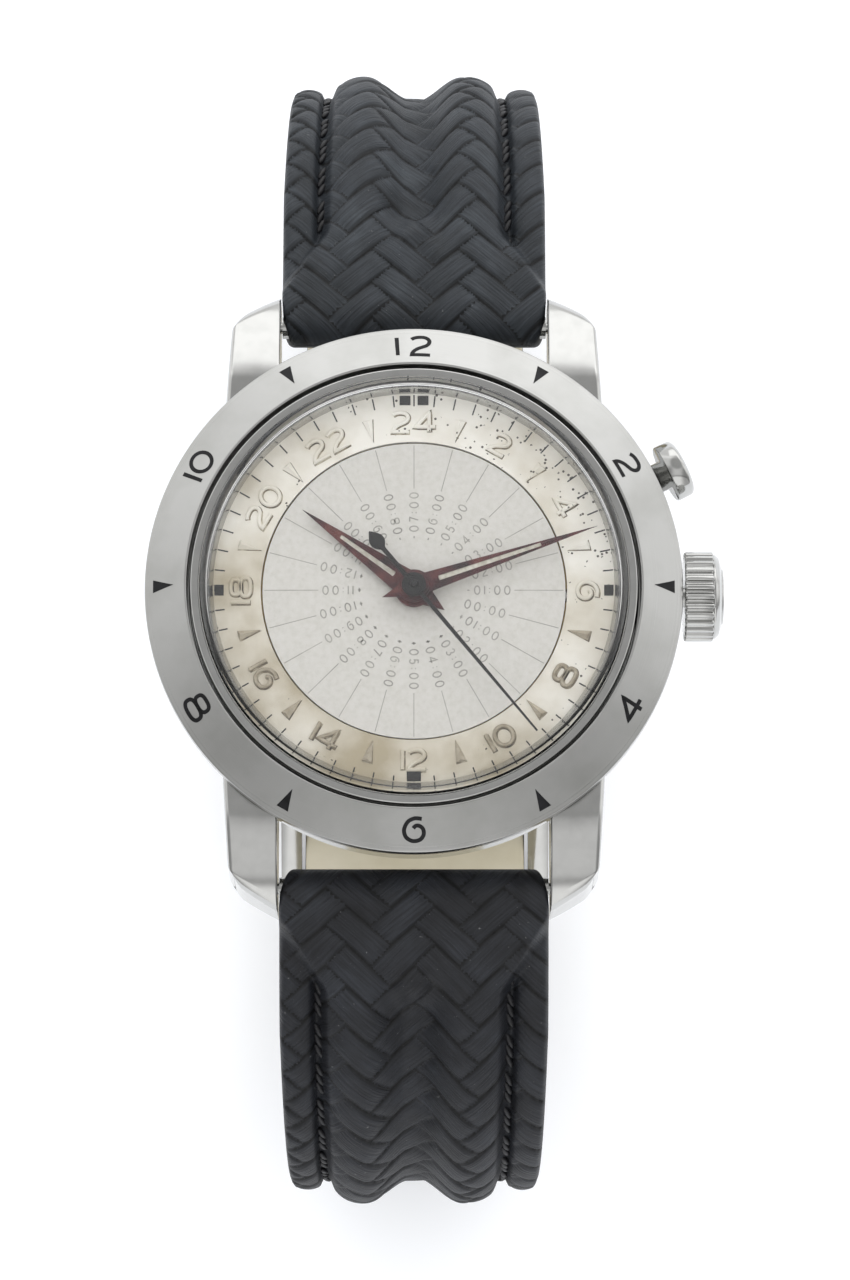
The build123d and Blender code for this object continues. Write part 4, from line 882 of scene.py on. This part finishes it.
# Pusher: a round-edged cap on a plain stem, which starts inside the case's wall
pusherSize = {"angle": 26.5, "z": 5.5, "start": 15.0, "capStart": 19.0, "capEnd": 20.4, "cap": 1.98,
              "stem": 1.0, "round": 0.5, "domeFoot": 0.45, "domeRise": 0.37, "chamfer": 0.06, "flat": 0.8,
              "flatStep": 0.02}
p = pusherSize
front = [(p["cap"] - p["round"] + p["round"] * math.sin(t),
          p["capEnd"] - p["domeFoot"] + p["domeRise"] * math.cos(t)) for t in np.linspace(math.pi / 2, 0, 10)]
turned = [(0, p["start"]), (p["stem"], p["start"]), (p["stem"], p["capStart"]),
          (p["cap"] - p["chamfer"], p["capStart"]), (p["cap"], p["capStart"] + p["chamfer"]), *front,
          (p["flat"], p["capEnd"] - p["flatStep"]), (0, p["capEnd"])]
addTurned("pusher_cap", turnProfile(turned, 96, outwardAxis(p["angle"], p["z"]), False), polishedSteel,
          "pusher", "polished_steel", ["pusher"])

print("crown and pusher ready")


# Strap: both halves follow a path of straight runs and bends, as (length, turn) from the spring bar. The
# first entry gives the slope that the path starts with

shortRuns = [(0, -5.6), (6.15, 0), (48.94, -174.4), (29.06, 0)]
longRuns = [(0, -10.0), (3.5, 0), (47.95, -170), (0.84, 0), (5.77, 23.6), (5.77, -23.6), (30.04, 0),
            (13.0, -40.6)]


def walk(runs, distance):
    # position (y, z) and heading at a distance along the path
    y, z, heading = strapSize["barY"], strapSize["barZ"], math.radians(runs[0][1])
    if distance < 0:
        return y + distance * math.cos(heading), z + distance * math.sin(heading), heading
    for length, turn in runs[1:]:
        part = min(distance, length)
        bend = math.radians(turn) * part / length
        if abs(bend) < 1e-9:
            y, z = y + part * math.cos(heading), z + part * math.sin(heading)
        else:
            radius = part / bend
            y += radius * (math.sin(heading + bend) - math.sin(heading))
            z -= radius * (math.cos(heading + bend) - math.cos(heading))
            heading += bend
        distance -= part
        if distance <= 0:
            break
    return y, z, heading


def pathFrames(runs, distances):
    # rows of y, z and the outward normal's y and z
    found = [walk(runs, distance) for distance in distances]
    return np.array([(y, z, -math.sin(h), math.cos(h)) for y, z, h in found])


def alongPath(runs, side, distances, rings):
    # rings of (across, height) set square to the path
    return [np.stack([ring[:, 0], side * (y + ny * ring[:, 1]), z + nz * ring[:, 1]], 1)
            for ring, (y, z, ny, nz) in zip(rings, pathFrames(runs, distances))]


def ease(value, start, end):
    t = np.clip((value - start) / (end - start), 0, 1)
    return t * t * (3 - 2 * t)


def halfWidths(runs, distances, hasTip=False):
    size = strapSize
    half = (size["lugWidth"] + (size["width"] - size["lugWidth"])
            * np.clip((distances - size["taperFrom"]) / (size["taperTo"] - size["taperFrom"]), 0, 1)) / 2
    if hasTip:
        total = sum(length for length, turn in runs)
        t = np.clip((distances - total + size["tipLength"]) / size["tipLength"], 0, 1)
        half = half * np.interp(t, *zip(*size["tip"]))
    return half


def undersides(distances):
    # the lining's underside, which drops by the pad's thickness near the bar
    size = strapSize
    pad = 1 - np.clip((distances - size["padFull"]) / (size["shoulderEnd"] - size["padFull"]), 0, 1)
    return size["inner"] + (size["pad"] - size["inner"]) * pad


# The outer face's sections: widths are shares of the half width, and starts and ends are distances
faceShape = {
    "humps": (0.07, 0.672), "humpSkew": 1.12, "humpFoot": 0.8, "humpSides": (1.3, 0.62), "rise": 0.05,
    "padFall": 0.16, "padWaist": 2.6, "padEdge": (1.06, 0.97, 0.68), "scoopFrom": 3.4, "scoopReach": 2.6,
    "scoopWidth": 0.2, "scoopEnd": 8.6, "lapAt": 0.42, "lapWidth": 0.2, "lapDepth": 0.35, "lapEnd": (6, 11),
    "flangeAt": 0.88, "flangeWidth": 0.12, "flangeFall": 0.3, "grooveWidth": 0.045, "grooveStart": (2.8, 4.0),
    "blend": 0.05,
}


def leatherHeights(s, x):
    # the outer face above the path, for distances s down the rows and shares x of the half width across:
    # two humps with a valley between them, a pad over the bar that is scooped into them, and flat flanges
    size = strapSize
    face = faceShape
    a = np.abs(x)
    fade = 1 - ease(s, size["humpFull"], size["humpEnd"])
    start, end = face["humps"]
    t = np.clip((a - start) / (end - start), 0, 1) ** face["humpSkew"]
    peak = size["flange"] + (size["hump"] - size["flange"]) * fade
    low = size["flange"] + (size["valley"] - size["flange"]) * fade
    foot = size["flange"] * face["humpFoot"]
    bulge = np.sin(math.pi * t) ** np.where(t < 0.5, *face["humpSides"])
    humps = low + (foot - low) * t + (peak - (low + foot) / 2) * bulge
    padTop = size["pad"] + face["rise"] - face["padFall"] * a ** 2
    scoop = face["scoopFrom"] + face["scoopReach"] * np.exp(-(a / face["scoopWidth"]) ** 2)
    lap = np.exp(-((a - face["lapAt"]) / face["lapWidth"]) ** 2) * (1 - ease(s, *face["lapEnd"]))
    mixed = padTop + (humps - padTop) * ease(s, scoop, face["scoopEnd"]) * (1 - face["lapDepth"] * lap)
    fall = ((a - face["flangeAt"]) / face["flangeWidth"]) ** 2
    flange = size["flange"] + face["rise"] - face["flangeFall"] * fall
    dip = np.exp(-((a - size["grooveAt"]) / face["grooveWidth"]) ** 4) * ease(s, *face["grooveStart"])
    flange = flange - (flange - size["grooveDepth"]) * dip
    edge = np.interp(s, (size["padFull"], face["padWaist"], size["shoulderEnd"]), face["padEdge"])
    return flange + (mixed - flange) * ease(edge - a, -face["blend"], face["blend"])


slant = math.radians(strapSize["stripAngle"])
pitch = strapSize["strip"] / math.sin(2 * slant)


def stripCounts(u, v):
    # how many strips lie between the origin and (u, v), along the two ways that strips run
    return [(u / math.cos(slant) + sign * v / math.sin(slant)) / 2 / pitch for sign in (1, -1)]


def plait(u, v):
    # height of plaited strips, each over two and under two
    p, q = stripCounts(u, v)
    i, j = np.floor(p), np.floor(q)
    turn = np.mod(i + j, 4)
    along = np.where(turn < 2, (turn + p - i) / 2, (turn - 2 + q - j) / 2)
    across = np.where(turn < 2, q - j, p - i)
    return (1 - np.abs(2 * along - 1) ** 5) * (1 - 0.9 * np.abs(2 * across - 1) ** 7)


def strandPlace(u, v, middleU, middleV):
    # across and along the strip that is on top at the middle point
    across, along = stripCounts(u, v)[::-1], stripCounts(u, v)
    isFirst = np.mod(sum(np.floor(count) for count in stripCounts(middleU, middleV)), 4) < 2
    return np.stack([np.where(isFirst, across[0], across[1]) * strapSize["strip"],
                     np.where(isFirst, along[0], along[1] + 40) * pitch], 1)


def addStrap(name, runs, side, hasTip, end, material, replaced):
    size = strapSize
    reach = size["noseReach"] + size["noseEnd"]
    nose = [-size["noseReach"] + reach * (1 - math.cos(t)) for t in np.linspace(0.02, math.pi / 2, 16)]
    count = round((end - nose[-1]) / size["along"])
    distances = np.array(nose + list(np.linspace(nose[-1], end, count + 1)[1:]))
    corner = np.clip(1 - (distances + size["noseReach"]) / size["cornerLength"], 0, 1)
    half = halfWidths(runs, distances, hasTip) - drop(1 - corner, 1) * size["cornerWidth"]
    s, x = distances[:, None], np.linspace(-1, 1, size["acrossCount"])[None, :]
    u, v = half[:, None] * x, s + 0 * x
    # the strips fade out at the edges and in the groove
    a = np.abs(x)
    inGroove = np.exp(-((a - size["grooveAt"]) / size["calmGroove"]) ** 4)
    calm = np.clip((1 - a) / size["calmEdge"], 0, 1) * (1 - size["calmShare"] * inGroove)
    height = leatherHeights(s, x) + size["stripRise"] * (plait(u, v) - size["stripMiddle"]) * calm
    height = height - drop(half[:, None] * (1 - a), size["edgeRound"])
    t = np.clip((distances + size["noseReach"]) / reach, 0, 1)
    swell = np.sqrt(1 - (1 - t) ** 2)
    height = height * swell[:, None]
    under = np.where(distances < size["noseEnd"] - 0.01, -size["pad"] * swell,
                     size["lining"] - undersides(distances)) + 0.01
    rings = []
    for wide, across, top, low in zip(half, u, height, under):
        bottom = [(wide * share, low + (size["underRound"] if abs(share) == 1.0 else 0))
                  for share in size["underShares"]]
        rings.append(np.vstack([np.stack([across, top], 1), [(wide, top[-1] + (low - top[-1]) * 0.5)], bottom,
                                [(-wide, top[0] + (low - top[0]) * 0.5)]]))
    points, faces = loftLoops(alongPath(runs, side, distances, rings))
    if side < 0:
        faces = [face[::-1] for face in faces]
    piece = addPiece(name, (points, faces), material, "case", "black_leather", replaced, False, True)
    # each face takes its own strip's coordinates, so no line is smeared across a crossing
    strand = piece.data.uv_layers.new(name="strand")
    corners = np.zeros(len(piece.data.loops), int)
    starts = np.zeros(len(piece.data.polygons), int)
    totals = np.zeros(len(piece.data.polygons), int)
    piece.data.loops.foreach_get("vertex_index", corners)
    piece.data.polygons.foreach_get("loop_start", starts)
    piece.data.polygons.foreach_get("loop_total", totals)
    ringSize = len(rings[0])
    at = corners // ringSize, np.minimum(corners % ringSize, size["acrossCount"] - 1)
    owner = np.repeat(np.arange(len(starts)), totals)
    middles = [(np.bincount(owner, value[at]) / totals)[owner] for value in (u, v)]
    strand.data.foreach_set("uv", strandPlace(u[at], v[at], *middles).ravel())
    return piece


shortEnd, longEnd = strapSize["shortEnd"], strapSize["longEnd"]
# the half at 12 takes the lighter copy of the leather, as painted light
shortStrap = addStrap("strap_short_leather", shortRuns, 1, False, shortEnd, litPlaitedLeather, ["short_strap"])
longStrap = addStrap("strap_long_leather", longRuns, -1, True, longEnd, strapLeather, ["long_strap"])


def addLining(name, runs, side, hasTip, start, end, replaced):
    distances = np.linspace(start, end, round((end - start) / 0.5))
    rings = []
    for half, low in zip(halfWidths(runs, distances, hasTip) - 0.05, -undersides(distances)):
        high = low + strapSize["lining"]
        rings.append(np.array(roundCorners([(-half, low), (half, low), (half, high), (-half, high)], 0.2, 2)))
    shape = loftLoops(alongPath(runs, side, distances, rings))
    return addTurned(name, shape, lining, "case", "cream_leather", replaced)


addLining("strap_short_lining", shortRuns, 1, False, 1.2, shortEnd, ["short_lining"])
longLining = addLining("strap_long_lining", longRuns, -1, True, 1.2, longEnd, ["long_lining"])

# Buckle holes through the long half, the one in use drawn out into a slot by the tongue
holeSize = {"first": -13.55, "pitch": 6.5, "count": 5, "used": 1, "radius": 0.9, "slotRadius": 0.95,
            "slot": 4.4, "searchFrom": 50, "depth": 4.0}


def holeCutter():
    size = holeSize
    frames = pathFrames(longRuns, np.linspace(size["searchFrom"], longEnd, 1200))
    angles = np.arange(32) * math.pi / 16
    shapes = []
    for i in range(size["count"]):
        y, z, ny, nz = frames[np.argmin(np.abs(-frames[:, 0] - (size["first"] + i * size["pitch"])))]
        radius = size["slotRadius"] if i == size["used"] else size["radius"]
        stretch = size["slot"] / 2 - radius if i == size["used"] else 0
        x, along = radius * np.cos(angles), radius * np.sin(angles) + stretch * np.sign(np.sin(angles))
        shapes.append(loftLoops([np.stack([x, -(y + ny * h - nz * along), z + nz * h + ny * along], 1)
                                 for h in (-size["depth"], size["depth"])]))
    return addObject("cutter", gather(shapes), isWelded=True)


cutter = holeCutter()
for piece in (longStrap, longLining):
    punch = piece.modifiers.new("Punch", "BOOLEAN")
    punch.operation = "DIFFERENCE"
    punch.solver = "EXACT"
    punch.object = cutter
    cut = finishedMesh(piece)
    piece.modifiers.clear()
    piece.data = cut
bpy.data.objects.remove(cutter)

# The short half's end goes round the buckle's bar, in two parts that leave room for the tongue
loopSize = {"barY": -5.0, "barZ": -29.047, "hole": 0.8, "outer": 1.63, "length": 3.0, "inner": 0.95,
            "edge": 8.0, "round": 0.3, "chamfer": 0.09, "high": -28.477, "low": -30.677}


def barLoop(side):
    size = loopSize
    y, z, r, length, low, high = (size[key] for key in ("barY", "barZ", "outer", "length", "low", "high"))
    line = [(y + length * t, z + r + (high - z - r) * t) for t in np.linspace(0, 1, 10)]
    line += [(y + length, high + (low - high) * t) for t in np.linspace(0.12, 1, 8)]
    line += [(y + length * t, low) for t in np.linspace(0.9, 0.1, 9)]
    line += [(y - r * math.sin(t), z - r * math.cos(t)) for t in np.linspace(0, math.pi, 24)[:-1]]
    away = np.array(line) - (y, z)
    distance = np.linalg.norm(away, axis=1)[:, None]
    inner, edge, soft, near = size["inner"], size["edge"], size["round"], size["chamfer"]
    places = [(x, distance - inset) for x, inset in (
        (inner, soft), (inner + near, near), (inner + soft, 0), (edge - soft, 0), (edge - near, near),
        (edge, soft))]
    places += [(x, size["hole"]) for x in (edge, inner)]
    return loftLoops([np.column_stack([np.full(len(line), side * x), (y, z) + away * reach / distance])
                      for x, reach in places], joined=True)


addTurned("strap_short_loop", gather([barLoop(1), barLoop(-1)]), plainLeather, "case", "black_leather")

# Thread: slanting beads of twisted thread along each groove, with a gap where a stitch dips
threadSize = {"rise": 0.16, "start": 3.7, "step": 0.5, "shortEnd": 80.0, "longEnd": 98.0}


def grooveLine(runs, side, sign, end):
    distances = np.arange(threadSize["start"], end, threadSize["step"])
    high = strapSize["grooveDepth"] + threadSize["rise"]
    rings = [np.array([(sign * half * strapSize["grooveAt"], high)]) for half in halfWidths(runs, distances)]
    return (np.vstack(alongPath(runs, side, distances, rings)) * mm).tolist()


values = {"Bead Pitch": 0.74 * mm, "Bead Length": 0.6 * mm, "Thread Radius": 0.23 * mm,
          "Slant": math.radians(26), "Beads per Stitch": 4}
tree, given = newTree("twisted_thread", values, followsMesh=True)
curve = addNode(tree, "GeometryNodeMeshToCurve", {"Mesh": given["Geometry"]})
stations = addNode(tree, "GeometryNodeResampleCurve", {"Curve": curve, "Length": given["Bead Pitch"]},
                   mode="LENGTH")
tangent = addNode(tree, "GeometryNodeInputTangent")
facing = addNode(tree, "FunctionNodeAlignRotationToVector", {"Vector": tangent}, axis="Z")
lean = addNode(tree, "ShaderNodeCombineXYZ", {"Y": given["Slant"]})
turned = addNode(tree, "FunctionNodeRotateRotation", {"Rotation": facing, "Rotate By": lean},
                 rotation_space="LOCAL")
ball = addNode(tree, "GeometryNodeMeshUVSphere", {"Segments": 8, "Rings": 6, "Radius": 1.0})
size = addNode(tree, "ShaderNodeCombineXYZ", {
    "X": given["Thread Radius"], "Y": given["Thread Radius"], "Z": given["Bead Length"]})
bead = addNode(tree, "GeometryNodeTransform", {"Geometry": ball, "Scale": size})
order = addNode(tree, "GeometryNodeInputIndex")
place = addNode(tree, "ShaderNodeMath", {0: order, 1: given["Beads per Stitch"]}, operation="MODULO")
isShown = addNode(tree, "ShaderNodeMath", {0: place, 1: 0.5}, operation="GREATER_THAN")
placed = addNode(tree, "GeometryNodeInstanceOnPoints", {
    "Points": stations, "Selection": isShown, "Instance": bead, "Rotation": turned})
endTree(tree, placed, thread, isSmooth=True)
for name, runs, side, end in (("strap_short_thread", shortRuns, 1, threadSize["shortEnd"]),
                              ("strap_long_thread", longRuns, -1, threadSize["longEnd"])):
    lines = [grooveLine(runs, side, sign, end) for sign in (1, -1)]
    count = len(lines[0])
    base = bpy.data.meshes.new(name)
    base.from_pydata(lines[0] + lines[1], [(i, i + 1) for i in range(2 * count - 1) if i != count - 1], [])
    settle(bakeTree(name, tree, values, mesh=base), "case", "black_leather")

print("strap ready")


# Floor: white paper that keeps the object's shadow

reach, z = 2000, -34.4
floor = addObject("floor", ([(-reach, -reach, z), (reach, -reach, z), (reach, reach, z), (-reach, reach, z)],
                            [(0, 1, 2, 3)]))
paper, tree, shader = newMaterial("WhitePaper", {"Base Color": linear("#dcdee2"), "Roughness": 0.9})
seen = anyRay(tree, "Is Camera Ray", "Is Glossy Ray", "Is Transmission Ray")
level = addNode(tree, "ShaderNodeMath", {0: seen, 1: 0.3}, operation="MULTIPLY")
glow = addNode(tree, "ShaderNodeEmission", {"Color": linear("#ffffff"), "Strength": level})
both = addNode(tree, "ShaderNodeAddShader", {0: shader, 1: glow})
connect(tree, tree.nodes["Material Output"], {"Surface": both})
floor.data.materials.append(paper)

# World: a soft studio
world = bpy.data.worlds.new("Studio")
bpy.context.scene.world = world
world.use_nodes = True
tree = world.node_tree
around = addNode(tree, "ShaderNodeTexCoord").outputs["Generated"]
way = addNode(tree, "ShaderNodeSeparateXYZ", {"Vector": around}).outputs
# what lights the matt surfaces: strongest overhead and from behind
above = addNode(tree, "ShaderNodeMapRange", {"Value": way["Z"], "To Min": 0.22, "To Max": 1.75})
behind = addNode(tree, "ShaderNodeMapRange", {"Value": way["Y"], "To Max": 0.6})
soft = addNode(tree, "ShaderNodeMath", {0: above, 1: behind}, operation="ADD")
# what the steel mirrors: in front a wall with the bright table below it, dark corners, and a dark ceiling
depth = addNode(tree, "ShaderNodeMapRange", {"Value": way["Y"], "From Min": -1.0, "From Max": 1.0})
walls = addNode(tree, "ShaderNodeValToRGB", {"Fac": depth}, [
    (0.155, "#d0d0d0"), (0.178, "#6a6a6a"), (0.21, "#b0b0b0"), (0.36, "#b0b0b0"), (0.72, "#bababa"),
    (0.78, "#dcdcdc"), (0.84, "#bababa")])
sideways = addNode(tree, "ShaderNodeMath", {0: way["X"]}, operation="ABSOLUTE")
across = addNode(tree, "ShaderNodeMapRange", {"Value": sideways, "From Min": 0.15, "From Max": 0.5},
                 interpolation_type="SMOOTHSTEP")
forward = addNode(tree, "ShaderNodeMapRange", {
    "Value": way["Y"], "From Min": 0.12, "From Max": -0.25, "To Max": 0.55}, interpolation_type="SMOOTHSTEP")
corner = addNode(tree, "ShaderNodeMath", {0: across, 1: forward}, operation="MULTIPLY")
overhead = addNode(tree, "ShaderNodeVectorMath", {0: around, 1: (0, 0.225, 0.974)}, operation="DOT_PRODUCT")
ceiling = addNode(tree, "ShaderNodeMapRange", {
    "Value": overhead.outputs["Value"], "From Min": 0.85, "From Max": 0.94, "To Min": 2.2, "To Max": 1.1},
    interpolation_type="SMOOTHSTEP")
lit = addNode(tree, "ShaderNodeMath", {0: 1.0, 1: corner}, operation="SUBTRACT")
lit = addNode(tree, "ShaderNodeMath", {0: lit, 1: ceiling}, operation="MULTIPLY")
shine = addNode(tree, "ShaderNodeMath", {0: walls, 1: lit}, operation="MULTIPLY")
both = addNode(tree, "ShaderNodeMix", {"Factor": anyRay(tree, "Is Glossy Ray"), "A": soft, "B": shine})
seen = anyRay(tree, "Is Camera Ray", "Is Transmission Ray")
level = addNode(tree, "ShaderNodeMix", {"Factor": seen, "A": both, "B": 1.0})
connect(tree, tree.nodes["Background"], {"Strength": level, "Color": (1, 1, 1, 1)})

# Two lamps that face the watch, with places and sizes in metres and power in watts
for name, at, size, watts in (("softbox_top", (0.05, 0.42, 0.27), (0.55, 0.28), 0.42),
                              ("softbox_side", (0.42, 0.03, 0.2), (0.3, 0.3), 0.1)):
    data = bpy.data.lights.new(name, "AREA")
    data.shape = "RECTANGLE"
    data.size, data.size_y = size
    data.energy = watts
    lamp = newObject(name, data)
    lamp.location = at
    lamp.rotation_euler = (-Vector(at)).to_track_quat("-Z", "Y").to_euler()

# Camera: far off, leaning a little towards 6 o'clock, with the dial above the picture's middle
view = {"tilt": 13.0, "distance": 380.0, "centre": (0.74, 0, 8), "above": 3.48, "lens": 159.9, "sensor": 36.0}
tilt = math.radians(view["tilt"])
aim = Vector(view["centre"]) - view["above"] * Vector((0, math.cos(tilt), math.sin(tilt)))
stand = aim + view["distance"] * Vector((0, -math.sin(tilt), math.cos(tilt)))
camera = newObject("camera", bpy.data.cameras.new("camera"))
camera.location = stand * mm
camera.rotation_euler = (aim - stand).to_track_quat("-Z", "Y").to_euler()
camera.data.lens = view["lens"]
camera.data.sensor_width = view["sensor"]
camera.data.clip_start = 0.01
camera.data.clip_end = 20.0
bpy.context.scene.camera = camera
bpy.context.scene.view_settings.view_transform = "Standard"

print("stage, lamps and camera ready")
